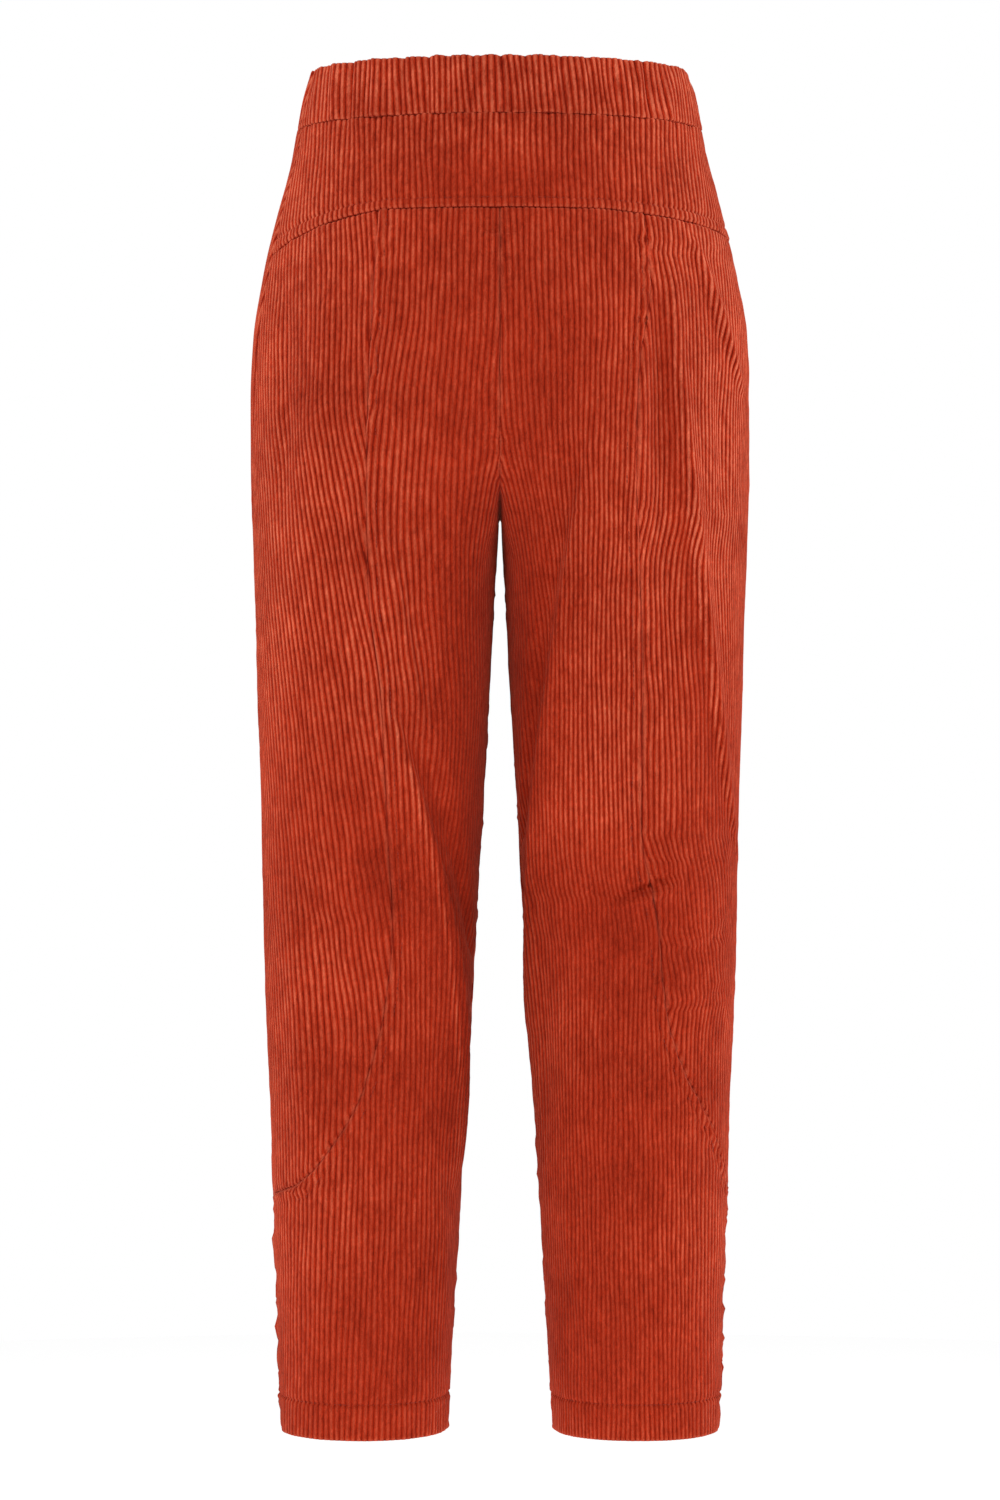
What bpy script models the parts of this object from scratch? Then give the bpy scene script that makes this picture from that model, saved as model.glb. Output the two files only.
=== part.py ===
"""Pull-on corduroy trousers, filled out as if worn, with nobody in them.

+Z is up, +Y is the way the wearer faces and +X is the wearer's right. The origin is the centre of the
waist opening, level with the top edge of the waistband. Every panel is an open sheet laid on one
worked-out surface and given its cloth thickness by Solidify, inwards, 0.3 mm clear of its neighbours.
"""

from collections import namedtuple
import math

import bmesh
import bpy
import numpy as np

# Driving sizes, in metres. Heights are measured up from the waistband's top edge, so they are negative.
MM = 0.001
OUTSEAM = 0.974
BAND_HEIGHT = 0.040
BAND_WALL = 0.003
BAND_STANDS_PROUD = 0.0008
CLOTH_WALL = 0.002
HEM_WALL = 0.0034
HEM_TURN_UP = 0.0255
SEAM_GAP = 0.0003
EDGE_STRIP = 0.003

# The seat seam leaves the back at SEAT_TURNS and the front at FORK_TURNS, and meets itself at CROTCH.
CROTCH = -0.3215
SEAT_TURNS = -0.258
FORK_TURNS = -0.246
LEGS_BEGIN = -0.190
LEGS_COMPLETE = -0.365
VALLEY_BEGINS = -0.215
OUTER_SQUARENESS = 2.15
DRAW_IN = 0.006
RING_STEPS = 360

# One half of the garment, level by level, in millimetres: how far the leg's inner and outer faces lie
# from the middle, and how far the cloth stands behind and in front of the side line.
Level = namedtuple("Level", "height inner outer back front")
LEVELS = [
    Level(0, 0, 133.8, 88, 93),
    Level(-19, 0, 139.3, 91, 95),
    Level(-40, 0, 143.5, 95, 97),
    Level(-62, 0, 148.0, 101, 100),
    Level(-105, 0, 159.5, 112, 106),
    Level(-148, 0, 169.6, 120, 110),
    Level(-191, 0, 176.6, 124, 111),
    Level(-235, 0, 178.2, 123.5, 110),
    Level(-278, 0, 178.2, 119, 108),
    Level(-321, 1.0, 177.0, 113, 106),
    Level(-379, 4.7, 175.3, 106, 104),
    Level(-451, 8.6, 173.2, 98, 100),
    Level(-523, 12.6, 171.0, 90, 97),
    Level(-595, 16.9, 169.6, 83, 94),
    Level(-667, 20.5, 167.8, 79, 88),
    Level(-739, 24.8, 164.5, 78, 80),
    Level(-811, 29.2, 162.4, 76, 74),
    Level(-883, 33.5, 159.5, 72, 70),
    Level(-974, 38.3, 157.0, 67, 67),
]

# How crisply the two halves of the seat meet, and how square a leg's ring is on its inner side, where 2 is
# an ellipse.
Rounding = namedtuple("Rounding", "height crispness squareness")
ROUNDING = [
    Rounding(-215, 60, 3.0),
    Rounding(-258, 48, 3.0),
    Rounding(-295, 24, 3.0),
    Rounding(-322, 12, 2.9),
    Rounding(-365, 7, 2.7),
    Rounding(-470, 7, 2.4),
    Rounding(-650, 7, 2.2),
    Rounding(-974, 7, 2.1),
]

# The seam between back panel and side panel, by its distance from the middle, in millimetres. From the
# last row it runs out to the side seam at PANEL_TIP, and below that the back panel reaches the side seam.
SeamPoint = namedtuple("SeamPoint", "height across")
PANEL_SEAM = {
    "left": [
        SeamPoint(-110, 85.0),
        SeamPoint(-190, 90.0),
        SeamPoint(-268, 93.0),
        SeamPoint(-370, 92.0),
        SeamPoint(-450, 83.0),
        SeamPoint(-545, 79.0),
        SeamPoint(-615, 75.5),
        SeamPoint(-669, 81.0),
        SeamPoint(-716, 93.0),
        SeamPoint(-742, 103.5),
        SeamPoint(-770, 121.5),
        SeamPoint(-792, 141.0),
        SeamPoint(-801, 156.0),
    ],
    "right": [
        SeamPoint(-110, 101.0),
        SeamPoint(-158, 105.5),
        SeamPoint(-227, 97.0),
        SeamPoint(-293, 95.0),
        SeamPoint(-370, 98.0),
        SeamPoint(-445, 100.0),
        SeamPoint(-540, 99.0),
        SeamPoint(-604, 110.5),
        SeamPoint(-674, 118.0),
        SeamPoint(-712, 129.5),
        SeamPoint(-751, 149.0),
        SeamPoint(-780, 158.0),
        SeamPoint(-795, 161.0),
    ],
}

PANEL_TIP = {"left": -0.8062, "right": -0.8030}
TIP_WIDTH = 0.007

# The side seam, as a share of the way from centre back round to centre front.
SideSeam = namedtuple("SideSeam", "height share")
SIDE_SEAM = {
    "left": [
        SideSeam(0, 0.45),
        SideSeam(-160, 0.425),
        SideSeam(-300, 0.45),
        SideSeam(-450, 0.5),
        SideSeam(-974, 0.5),
    ],
    "right": [SideSeam(0, 0.5), SideSeam(-974, 0.5)],
}

# The yoke's lower edge drops towards the side seams: by how much there, and from what turn round the body.
YOKE_MIDDLE = -0.109
Drop = namedtuple("Drop", "most starts power")
YOKE_DROP = {"left": Drop(0.026, 0.14, 1.35), "right": Drop(0.013, 0.12, 1.2)}

# Folds fade out towards their ends by this power of a half wave, and near centre back and centre front.
FOLD_FADE = 0.7
SEAM_HOLD = 0.012

# The largest folds. Each is a soft ridge (rise over zero) or trough along a curve given by its distance
# from the middle at the top, half-way down and at the bottom. All in millimetres.
Fold = namedtuple("Fold", "side face top bottom x_top x_middle x_bottom width rise")
FOLDS = [
    Fold("left", "back", -440, -800, 84, 36.5, 32, 16, 6.0),
    Fold("left", "back", -450, -770, 66, 22, 18, 12, -3.0),
    Fold("left", "back", -150, -380, 116, 127, 135, 14, 2.6),
    Fold("left", "back", -290, -480, 86, 72, 52, 15, 3.0),
    Fold("left", "back", -240, -520, 94, 93, 84, 12, 2.2),
    Fold("left", "back", -560, -780, 130, 118, 112, 18, -2.4),
    Fold("right", "back", -140, -570, 118, 137, 170, 10, 4.8),
    Fold("right", "back", -145, -450, 111, 115, 122, 12, -3.8),
    Fold("right", "back", -200, -740, 80, 34, 22, 18, 6.0),
    Fold("right", "back", -260, -680, 58, 22, 10, 12, -3.0),
    Fold("right", "back", -215, -320, 153, 156, 157, 9, -2.6),
    Fold("right", "back", -520, -780, 36, 32, 34, 14, -2.4),
    Fold("right", "back", -570, -690, 92, 84, 80, 13, 2.4),
    Fold("left", "front", -470, -760, 60, 74, 92, 18, -3.0),
    Fold("left", "front", -300, -600, 50, 66, 84, 20, 2.4),
    Fold("left", "front", -90, -290, 66, 72, 84, 18, 2.2),
    Fold("right", "front", -440, -720, 54, 70, 96, 18, -2.8),
    Fold("right", "front", -290, -560, 44, 62, 88, 20, 2.6),
    Fold("right", "front", -80, -300, 70, 78, 92, 17, 2.0),
]

# Grid of each panel. Rows come at these heights, closer together where the seat turns under.
YOKE_ROWS = 3
SHAPE_ROWS = [-150, -185, -220, -250, -270, -286, -299, -310, -317, -321.5]
LEG_ROWS = [-336, -368, -405, -450, -495, -540, -580, -615, -650, -684, -714, -742, -766, -781, -792]
CALF_ROWS = [-797, -801, -804, -840, -890, -947.5, -948.5, -974]
ABOVE_TIP = 0.0005
FRONT_TOP_ROWS = [-70, -105]
SIDE_SETTLES = -0.185
COLUMNS = {"back": 11, "side": 6, "front": 12, "band": 9}
FORK_COLUMNS = 3
FORK_REACH = 0.018

CLOTH = {
    "waistband_back": (0.48, 0.063, 0.030),
    "waistband_front": (0.47, 0.060, 0.029),
    "yoke_back": (0.43, 0.040, 0.014),
    "back_panel": (0.38, 0.034, 0.012),
    "side_panel": (0.45, 0.052, 0.022),
    "front_panel": (0.40, 0.040, 0.016),
}


def curve_through(knots, values, at):
    """A smooth curve through a table's rows that never swings past them."""
    knots = np.asarray(knots, float)
    values = np.asarray(values, float)
    step = np.diff(knots)
    slope = np.diff(values) / step
    tangent = np.zeros(len(values))
    tangent[0] = slope[0]
    tangent[-1] = slope[-1]
    for i in range(1, len(values) - 1):
        if slope[i - 1] * slope[i] > 0:
            tangent[i] = 2 * slope[i - 1] * slope[i] / (slope[i - 1] + slope[i])
    i = np.clip(np.searchsorted(knots, at, side="right") - 1, 0, len(step) - 1)
    t = np.clip((at - knots[i]) / step[i], 0, 1)
    h = step[i]
    return (
        values[i] * (1 + 2 * t) * (1 - t) ** 2
        + tangent[i] * h * t * (1 - t) ** 2
        + values[i + 1] * t * t * (3 - 2 * t)
        - tangent[i + 1] * h * t * t * (1 - t)
    )


def read(table, column, height):
    """One column of a table at a height in metres, in the table's own units."""
    down = [-row.height for row in table]
    values = [getattr(row, column) for row in table]
    return float(curve_through(down, values, -height / MM))


def ease(value):
    """A smooth step from 0 to 1."""
    value = min(max(value, 0.0), 1.0)
    return value * value * (3 - 2 * value)


def seam_reach(height, turns):
    """How much of its depth the seat seam still has at this height: 1 where it turns, 0 at the crotch."""
    t = min(max((turns - height) / (turns - CROTCH), 0.0), 1.0)
    return math.sqrt(1 - t * t)


def torso_reach(angle, half_width, depth, centre):
    """Distance from the leg's centre line to the torso's half ellipse, at angles from the middle."""
    along = -np.cos(angle) / half_width
    across = np.sin(angle) / depth
    offset = centre / half_width
    a = along**2 + across**2
    b = offset * along
    return (-b + np.sqrt(b * b - a * (offset**2 - 1))) / a


def leg_reach(angle, half_width, depth, squareness):
    """Distance from the leg's centre line to its own rounded ring."""
    squareness = np.where(np.cos(angle) > 0, squareness, OUTER_SQUARENESS)
    along = np.abs(np.cos(angle)) / half_width
    across = np.abs(np.sin(angle)) / depth
    return (along**squareness + across**squareness) ** (-1 / squareness)


def plain_ring(height):
    """One half at one level with no folds: points from centre back round the side to centre front."""
    inner = read(LEVELS, "inner", height) * MM
    outer = read(LEVELS, "outer", height) * MM
    back = read(LEVELS, "back", height) * MM
    front = read(LEVELS, "front", height) * MM
    centre = (inner + outer) / 2
    wall = centre - inner
    share = np.linspace(0, 1, RING_STEPS + 1)
    start = math.atan2(back * seam_reach(height, SEAT_TURNS), wall)
    finish = math.atan2(front * seam_reach(height, FORK_TURNS), wall)
    angle = np.where(
        share <= 0.5,
        start + 2 * share * (math.pi - start),
        math.pi + (2 * share - 1) * (math.pi - finish),
    )
    depth = np.where(share <= 0.5, back, front)
    legs = ease((LEGS_BEGIN - height) / (LEGS_BEGIN - LEGS_COMPLETE))
    reach = (1 - legs) * torso_reach(angle, outer, depth, centre)
    squareness = read(ROUNDING, "squareness", height)
    reach += legs * leg_reach(angle, (outer - inner) / 2, depth, squareness)
    crisp = read(ROUNDING, "crispness", height)
    facing = (1 - legs) * (centre + outer) + legs * wall
    strength = 1 - (wall / facing) ** crisp
    strength *= ease((VALLEY_BEGINS - height) / (VALLEY_BEGINS - SEAT_TURNS))
    towards = np.maximum(np.cos(angle), 0) / wall
    reach = (reach**-crisp + strength * towards**crisp) ** (-1 / crisp)
    x = centre - reach * np.cos(angle)
    y = -reach * np.sin(angle)
    from_back = np.hypot(x - x[0], y - y[0])
    from_front = np.hypot(x - x[-1], y - y[-1])
    if height > CROTCH:
        x = x - (x[0] - inner) * np.exp(-((from_back / DRAW_IN) ** 2))
        x = x - (x[-1] - inner) * np.exp(-((from_front / DRAW_IN) ** 2))
    return share, x, y


def ring(side, height):
    """One half at one level with its folds: share of the way round, arc length, x and y."""
    share, x, y = plain_ring(height)
    arc = np.concatenate([[0], np.cumsum(np.hypot(np.diff(x), np.diff(y)))])
    out_x = np.gradient(y, arc)
    out_y = -np.gradient(x, arc)
    half = len(share) // 2 + 1
    lift = np.zeros(len(share))
    for fold in FOLDS:
        down = (fold.top * MM - height) / ((fold.top - fold.bottom) * MM)
        if fold.side != side or not 0 < down < 1:
            continue
        across = (
            fold.x_top * (1 - down) * (1 - 2 * down)
            + 4 * fold.x_middle * down * (1 - down)
            + fold.x_bottom * down * (2 * down - 1)
        ) * MM
        if fold.face == "back":
            at = np.interp(across, x[:half], arc[:half])
        else:
            at = np.interp(across, x[half - 1 :][::-1], arc[half - 1 :][::-1])
        height_here = fold.rise * MM * math.sin(math.pi * down) ** FOLD_FADE
        lift += height_here * np.exp(-(((arc - at) / (fold.width * MM)) ** 2))
    lift *= 1 - np.exp(-((arc / SEAM_HOLD) ** 2)) - np.exp(-(((arc[-1] - arc) / SEAM_HOLD) ** 2))
    return share, arc, x + out_x * lift, y + out_y * lift


def share_at(side, height, across):
    """The share of the way round at which the back lies this far from the middle."""
    share, _, x, _ = ring(side, height)
    half = len(share) // 2 + 1
    return float(np.interp(across, x[:half], share[:half]))


def panel_seam(side, height):
    """Where the panel seam lies, as a share of the way round."""
    last = PANEL_SEAM[side][-1]
    level = max(height, last.height * MM)
    share = share_at(side, level, read(PANEL_SEAM[side], "across", level) * MM)
    if level > height:
        run_out = min(1.0, (level - height) / (level - PANEL_TIP[side]))
        share += (side_seam(side, PANEL_TIP[side]) - TIP_WIDTH - share) * run_out
    return share


def side_seam(side, height):
    """Where the side seam lies, as a share of the way round."""
    return read(SIDE_SEAM[side], "share", height)


def yoke_edge(side, share):
    """Height of the yoke's lower edge at a share of the way round."""
    drop = YOKE_DROP[side]
    along = max(0.0, (share - drop.starts) / (side_seam(side, YOKE_MIDDLE) - drop.starts))
    return YOKE_MIDDLE - drop.most * along**drop.power


def trimmed(side, height, seam, inward):
    """Where an edge lies beside a seam, off it by half the gap, square to its run.

    seam is a share of the way round or a function that gives one at a level.
    """
    reaches = []
    for level in (height + MM, height, height - MM):
        shares, arc, _, _ = ring(side, level)
        share = seam(side, level) if callable(seam) else seam
        reaches.append(np.interp(share, shares, arc) - np.interp(0.5, shares, arc))
    lean = (reaches[0] - reaches[2]) / (2 * MM)
    shares, arc, _, _ = ring(side, height)
    offset = inward * SEAM_GAP / 2 * math.hypot(1, lean)
    return float(np.interp(reaches[1] + np.interp(0.5, shares, arc) + offset, arc, shares))


def columns_between(side, height, low, high, count, fork=None):
    """Shares of the way round for one row of a panel: even columns with a narrow strip at each edge.

    The edge named by fork, low or high, carries the fork that grows under the seat. It gets columns of its
    own, so that the rest of the panel keeps its columns straight.
    """
    shares, arc, x, _ = ring(side, height)
    first, last = np.interp([low, high], shares, arc)
    strip = min(EDGE_STRIP, (last - first) / (count + 1))
    first_place = first + strip
    last_place = last - strip
    if fork is None:
        places = np.linspace(first_place, last_place, count - 1)
    else:
        half = len(shares) // 2 + 1
        reach = read(LEVELS, "inner", height) * MM + FORK_REACH
        wide = count - 1 - FORK_COLUMNS
        if fork == "low":
            turn = np.interp(reach, x[:half], arc[:half])
            fork_places = np.linspace(first_place, turn, FORK_COLUMNS + 1)
            places = np.concatenate([fork_places, np.linspace(turn, last_place, wide)[1:]])
        else:
            turn = np.interp(reach, x[half - 1 :][::-1], arc[half - 1 :][::-1])
            fork_places = np.linspace(turn, last_place, FORK_COLUMNS + 1)
            places = np.concatenate([np.linspace(first_place, turn, wide)[:-1], fork_places])
    return np.interp(np.concatenate([[first], places, [last]]), arc, shares)


def point(side, share, height, proud=0.0):
    """A point of the surface, moved out by as much as proud."""
    shares, arc, x, y = ring(side, height)
    px = np.interp(share, shares, x)
    py = np.interp(share, shares, y)
    if proud:
        away = np.array([px / 2, py])
        away *= proud / np.linalg.norm(away)
        px += away[0]
        py += away[1]
    return (px if side == "right" else -px, py, height)


def sheet(rows, rightwards):
    """A mesh grid moved to rows of points. rightwards says that they run to the right, seen from outside."""
    bm = bmesh.new()
    count = len(rows[0])
    bmesh.ops.create_grid(bm, x_segments=count - 1, y_segments=len(rows) - 1, size=1)
    bm.verts.ensure_lookup_table()
    ordered = sorted(bm.verts, key=lambda v: (round(-v.co.y, 5), round(v.co.x, 5)))
    for vert, place in zip(ordered, [p for row in rows for p in row]):
        vert.co = place
    if not rightwards:
        bmesh.ops.reverse_faces(bm, faces=bm.faces)
    return bm


def cloth(name, rows, rightwards, kind, collection, wall=CLOTH_WALL, hem=False):
    """A panel: its sheet, its material and its thickness, which doubles where the hem turns up."""
    bm = sheet(rows, rightwards)
    mesh = bpy.data.meshes.new(name)
    bm.to_mesh(mesh)
    bm.free()
    mesh.shade_smooth()
    piece = bpy.data.objects.new(name, mesh)
    collection.objects.link(piece)
    thick = piece.modifiers.new("Thickness", "SOLIDIFY")
    thick.offset = -1
    thick.thickness = HEM_WALL if hem else wall
    if hem:
        weights = piece.vertex_groups.new(name="Cloth layers")
        for vert in mesh.vertices:
            doubled = vert.co.z < -OUTSEAM + HEM_TURN_UP + SEAM_GAP
            weights.add([vert.index], 1.0 if doubled else wall / HEM_WALL, "REPLACE")
        thick.vertex_group = weights.name
    piece.modifiers.new("Crisp edges", "WEIGHTED_NORMAL")
    material = bpy.data.materials.new(name + " corduroy")
    material.use_nodes = True
    shader = material.node_tree.nodes["Principled BSDF"]
    shader.inputs["Base Color"].default_value = (*CLOTH[kind], 1)
    shader.inputs["Roughness"].default_value = 0.9
    shader.inputs["Metallic"].default_value = 0.0
    mesh.materials.append(material)
    return piece


def across_back(levels_of):
    """Rows that run from the left side seam over centre back to the right side seam."""
    return [level("left")[::-1] + level("right")[1:] for level in levels_of]


def across_front(levels_of):
    """Rows that run from the left side seam over centre front to the right side seam."""
    return [level("left") + level("right")[-2::-1] for level in levels_of]


def band_row(height, half, proud=BAND_STANDS_PROUD):
    """One level of the waistband on one half of the body, from or to the middle."""

    def on(side):
        if half == "back":
            edge = trimmed(side, height, side_seam, -1)
            shares = columns_between(side, height, 0.0, edge, COLUMNS["band"])
        else:
            edge = trimmed(side, height, side_seam, 1)
            shares = columns_between(side, height, edge, 1.0, COLUMNS["band"])
        return [point(side, s, height, proud) for s in shares]

    return on


def waistband(collection):
    """The elasticated band: a back half and a front half, joined at the side seams."""
    heights = [0.0, -BAND_HEIGHT * 0.33, -BAND_HEIGHT * 0.67, -BAND_HEIGHT]
    back = across_back([band_row(h, "back") for h in heights])
    front = across_front([band_row(h, "front") for h in heights])
    cloth("waistband_back", back, True, "waistband_back", collection, wall=BAND_WALL)
    cloth("waistband_front", front, False, "waistband_front", collection, wall=BAND_WALL)


def yoke_row(down):
    """One level of the yoke, down from 0 at the waistband to 1 at its curved lower edge."""

    def on(side):
        top = -BAND_HEIGHT - SEAM_GAP
        edge = trimmed(side, YOKE_MIDDLE, side_seam, -1)
        split = panel_seam(side, YOKE_MIDDLE)
        inner = columns_between(side, YOKE_MIDDLE, 0.0, split, COLUMNS["back"], "low")
        outer = columns_between(side, YOKE_MIDDLE, split, edge, COLUMNS["side"])
        shares = np.concatenate([inner, outer[1:]])
        row = []
        for i, share in enumerate(shares):
            height = top + down * (yoke_edge(side, share) - top)
            if i == len(shares) - 1:
                share = trimmed(side, height, side_seam, -1)
            row.append(point(side, share, height))
        return row

    return on


def yoke(collection):
    """The back yoke, in one piece from side seam to side seam."""
    steps = np.linspace(0, 1, YOKE_ROWS + 1)
    rows = across_back([yoke_row(t) for t in steps])
    cloth("yoke_back", rows, True, "yoke_back", collection)


def below_yoke(side, share, height):
    """A row's height under the yoke: it follows the yoke's edge at the top and settles level."""
    settle = (height - YOKE_MIDDLE) / (SIDE_SETTLES - YOKE_MIDDLE)
    fall = yoke_edge(side, share) - YOKE_MIDDLE
    return height + fall * max(0.0, 1 - settle) - SEAM_GAP * (settle <= 0)


def panel_rows(side, heights, edges, count, under_yoke, fork=None):
    """A leg panel's rows. edges gives the shares of its two edges at a height."""
    rows = []
    for height in heights:
        low, high = edges(height)
        shares = columns_between(side, height, low, high, count, fork)
        row = []
        for i, share in enumerate(shares):
            level = below_yoke(side, share, height) if under_yoke else height
            if level != height and i in (0, count):
                share = edges(level)[0 if i == 0 else 1]
            row.append(point(side, share, level))
        rows.append(row)
    return rows


def back_panel(side, collection):
    """The back of one leg: seat seam and inseam on one edge, panel seam and side seam on the other."""
    tip = PANEL_TIP[side]

    def edges(height):
        low = trimmed(side, height, 0.0, 1)
        if height >= tip:
            return low, trimmed(side, height, panel_seam, -1)
        return low, trimmed(side, height, side_seam, -1)

    heights = [YOKE_MIDDLE] + [h * MM for h in SHAPE_ROWS + LEG_ROWS + CALF_ROWS]
    heights = [h for h in heights if abs(h - tip) > 2 * ABOVE_TIP] + [tip + ABOVE_TIP, tip - ABOVE_TIP]
    rows = panel_rows(side, sorted(heights, reverse=True), edges, COLUMNS["back"], True, "low")
    cloth("back_panel_" + side, rows, side == "right", "back_panel", collection, hem=True)


def side_panel(side, collection):
    """The side-back panel, which narrows to a tip on the side seam at the calf."""
    tip = PANEL_TIP[side]

    def edges(height):
        low = trimmed(side, height, panel_seam, 1)
        return low, trimmed(side, height, side_seam, -1)

    heights = [YOKE_MIDDLE] + [h * MM for h in SHAPE_ROWS + LEG_ROWS + CALF_ROWS]
    heights = [h for h in heights if h > tip + 2 * ABOVE_TIP] + [tip + ABOVE_TIP]
    rows = panel_rows(side, heights, edges, COLUMNS["side"], True)
    cloth("side_panel_" + side, rows, side == "right", "side_panel", collection)


def front_panel(side, collection):
    """The front of one leg, from the waistband to the hem."""

    def edges(height):
        low = trimmed(side, height, side_seam, 1)
        return low, trimmed(side, height, 1.0, -1)

    below_band = [h * MM for h in FRONT_TOP_ROWS + SHAPE_ROWS + LEG_ROWS + CALF_ROWS]
    heights = [-BAND_HEIGHT - SEAM_GAP] + below_band
    rows = panel_rows(side, heights, edges, COLUMNS["front"], False, "high")
    cloth("front_panel_" + side, rows, side == "right", "front_panel", collection, hem=True)


def main():
    for old in list(bpy.data.objects):
        bpy.data.objects.remove(old, do_unlink=True)
    trousers = bpy.data.collections.new("Corduroy trousers")
    bpy.context.scene.collection.children.link(trousers)
    waistband(trousers)
    yoke(trousers)
    for side in ("left", "right"):
        back_panel(side, trousers)
        side_panel(side, trousers)
        front_panel(side, trousers)


main()
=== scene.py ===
"""Looks of pull-on corduroy trousers, filled out with nobody in them.

Each panel is a thin shell on its solid's form. Its mesh is set along the cords, four columns to a cord, so
that the cords stand up as real ridges, follow the grain and run out at the seams.
"""

from collections import namedtuple
import math

import bmesh
import bpy
import numpy as np
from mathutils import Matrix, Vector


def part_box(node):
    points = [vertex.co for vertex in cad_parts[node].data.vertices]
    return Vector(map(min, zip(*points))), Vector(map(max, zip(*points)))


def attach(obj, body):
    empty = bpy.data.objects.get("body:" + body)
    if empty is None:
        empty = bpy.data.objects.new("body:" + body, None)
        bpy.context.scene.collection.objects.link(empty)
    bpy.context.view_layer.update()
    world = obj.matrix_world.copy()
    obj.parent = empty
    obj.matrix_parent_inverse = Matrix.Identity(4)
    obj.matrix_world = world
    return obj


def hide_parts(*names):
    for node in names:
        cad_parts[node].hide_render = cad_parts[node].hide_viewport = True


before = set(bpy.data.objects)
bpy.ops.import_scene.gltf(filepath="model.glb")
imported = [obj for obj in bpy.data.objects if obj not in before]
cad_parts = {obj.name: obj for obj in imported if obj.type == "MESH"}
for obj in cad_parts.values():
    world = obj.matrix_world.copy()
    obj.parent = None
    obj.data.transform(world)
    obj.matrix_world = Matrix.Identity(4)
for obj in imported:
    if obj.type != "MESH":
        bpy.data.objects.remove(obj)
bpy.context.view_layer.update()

MM = 0.001
SIGN = {"left": -1, "right": 1}


def table(columns, *rows):
    """A table whose columns are read by name."""
    row_of = namedtuple("Row", columns)
    return [row_of(*row) for row in rows]


# Sizes, from the solids where they state them.
OUTSEAM = -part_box("front_panel_left")[0][2]
BAND_HEIGHT = -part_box("waistband_back")[0][2]
HEM_TURN_UP = 0.0255
BAND_STANDS_PROUD = 0.0008
SHELL_WALL = 0.0017
HEM_WALL = 0.0031
BAND_WALL = 0.0028
BAND_OVERLAP = 0.0007

# The cords and the grid that carries them. Where the pile lies flat it sinks by a share of its height, and
# where it is raised it stands higher by another. Away from a curved edge the rows settle level.
CORD_PITCH = 0.0043
CORD_HEIGHT = 0.00095
CORD_PLACES = (0.0, 0.2, 0.5, 0.8)
CORD_WOBBLE = 0.00068
BAND_WOBBLE = 1.8
PILE_SINKS = 0.26
PILE_STANDS = 0.45
ROW_STEP = 0.0042
FINE_STEP = 0.0016
SETTLED_AFTER = 0.11
RING_STEPS = 360

# The seat seam leaves the back at SEAT_TURNS and the front at FORK_TURNS, and meets itself at CROTCH.
CROTCH = -0.3215
SEAT_TURNS = -0.258
FORK_TURNS = -0.246
LEGS_BEGIN = -0.190
LEGS_COMPLETE = -0.365
VALLEY_BEGINS = -0.215
OUTER_SQUARENESS = 2.15
DRAW_IN = 0.006

# One half of the garment, level by level, in millimetres: how far the leg's inner and outer faces lie
# from the middle, and how far the cloth stands behind and in front of the side line.
LEVELS = table(
    "height inner outer back front",
    (0, 0, 133.8, 88, 93),
    (-19, 0, 139.3, 91, 95),
    (-40, 0, 143.5, 95, 97),
    (-62, 0, 148.0, 101, 100),
    (-105, 0, 159.5, 112, 106),
    (-148, 0, 169.6, 120, 110),
    (-191, 0, 176.6, 124, 111),
    (-235, 0, 178.2, 123.5, 110),
    (-278, 1.1, 178.2, 119, 108),
    (-321, 1.8, 177.0, 113, 106),
    (-379, 4.9, 175.3, 106, 104),
    (-451, 8.6, 173.2, 98, 100),
    (-523, 12.6, 171.0, 90, 97),
    (-595, 16.9, 169.6, 83, 94),
    (-667, 20.5, 167.8, 79, 88),
    (-739, 24.8, 164.5, 78, 80),
    (-811, 29.2, 162.4, 76, 74),
    (-883, 33.5, 159.5, 72, 70),
    (-974, 38.3, 157.0, 67, 67),
)

# How crisply the two halves of the seat meet, and how square a leg's ring is on its inner side.
ROUNDING = table(
    "height crispness squareness",
    (-215, 60, 3.0),
    (-258, 48, 3.0),
    (-295, 44, 3.2),
    (-322, 30, 3.1),
    (-365, 14, 2.9),
    (-470, 9, 2.5),
    (-650, 7, 2.2),
    (-974, 7, 2.1),
)

# The seam between back panel and side panel, by its distance from the middle, in millimetres. From the
# last row it runs out to the side seam at PANEL_TIP.
SEAM_COLUMNS = "height across"
PANEL_SEAM = {
    "left": table(
        SEAM_COLUMNS,
        (-110, 85.0),
        (-190, 90.0),
        (-268, 93.0),
        (-370, 92.0),
        (-450, 83.0),
        (-545, 79.0),
        (-615, 75.5),
        (-669, 81.0),
        (-716, 93.0),
        (-742, 103.5),
        (-770, 121.5),
        (-792, 141.0),
        (-801, 156.0),
    ),
    "right": table(
        SEAM_COLUMNS,
        (-110, 101.0),
        (-158, 105.5),
        (-227, 97.0),
        (-293, 95.0),
        (-370, 98.0),
        (-445, 100.0),
        (-540, 99.0),
        (-604, 110.5),
        (-674, 118.0),
        (-712, 129.5),
        (-751, 149.0),
        (-780, 158.0),
        (-795, 161.0),
    ),
}
PANEL_TIP = {"left": -0.8062, "right": -0.8030}
TIP_WIDTH = 0.007

# The side seam, as a share of the way from centre back round to centre front.
SIDE_COLUMNS = "height share"
SIDE_SEAM = {
    "left": table(
        SIDE_COLUMNS,
        (0, 0.45),
        (-160, 0.425),
        (-300, 0.45),
        (-450, 0.5),
        (-974, 0.5),
    ),
    "right": table(SIDE_COLUMNS, (0, 0.5), (-974, 0.5)),
}

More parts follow.
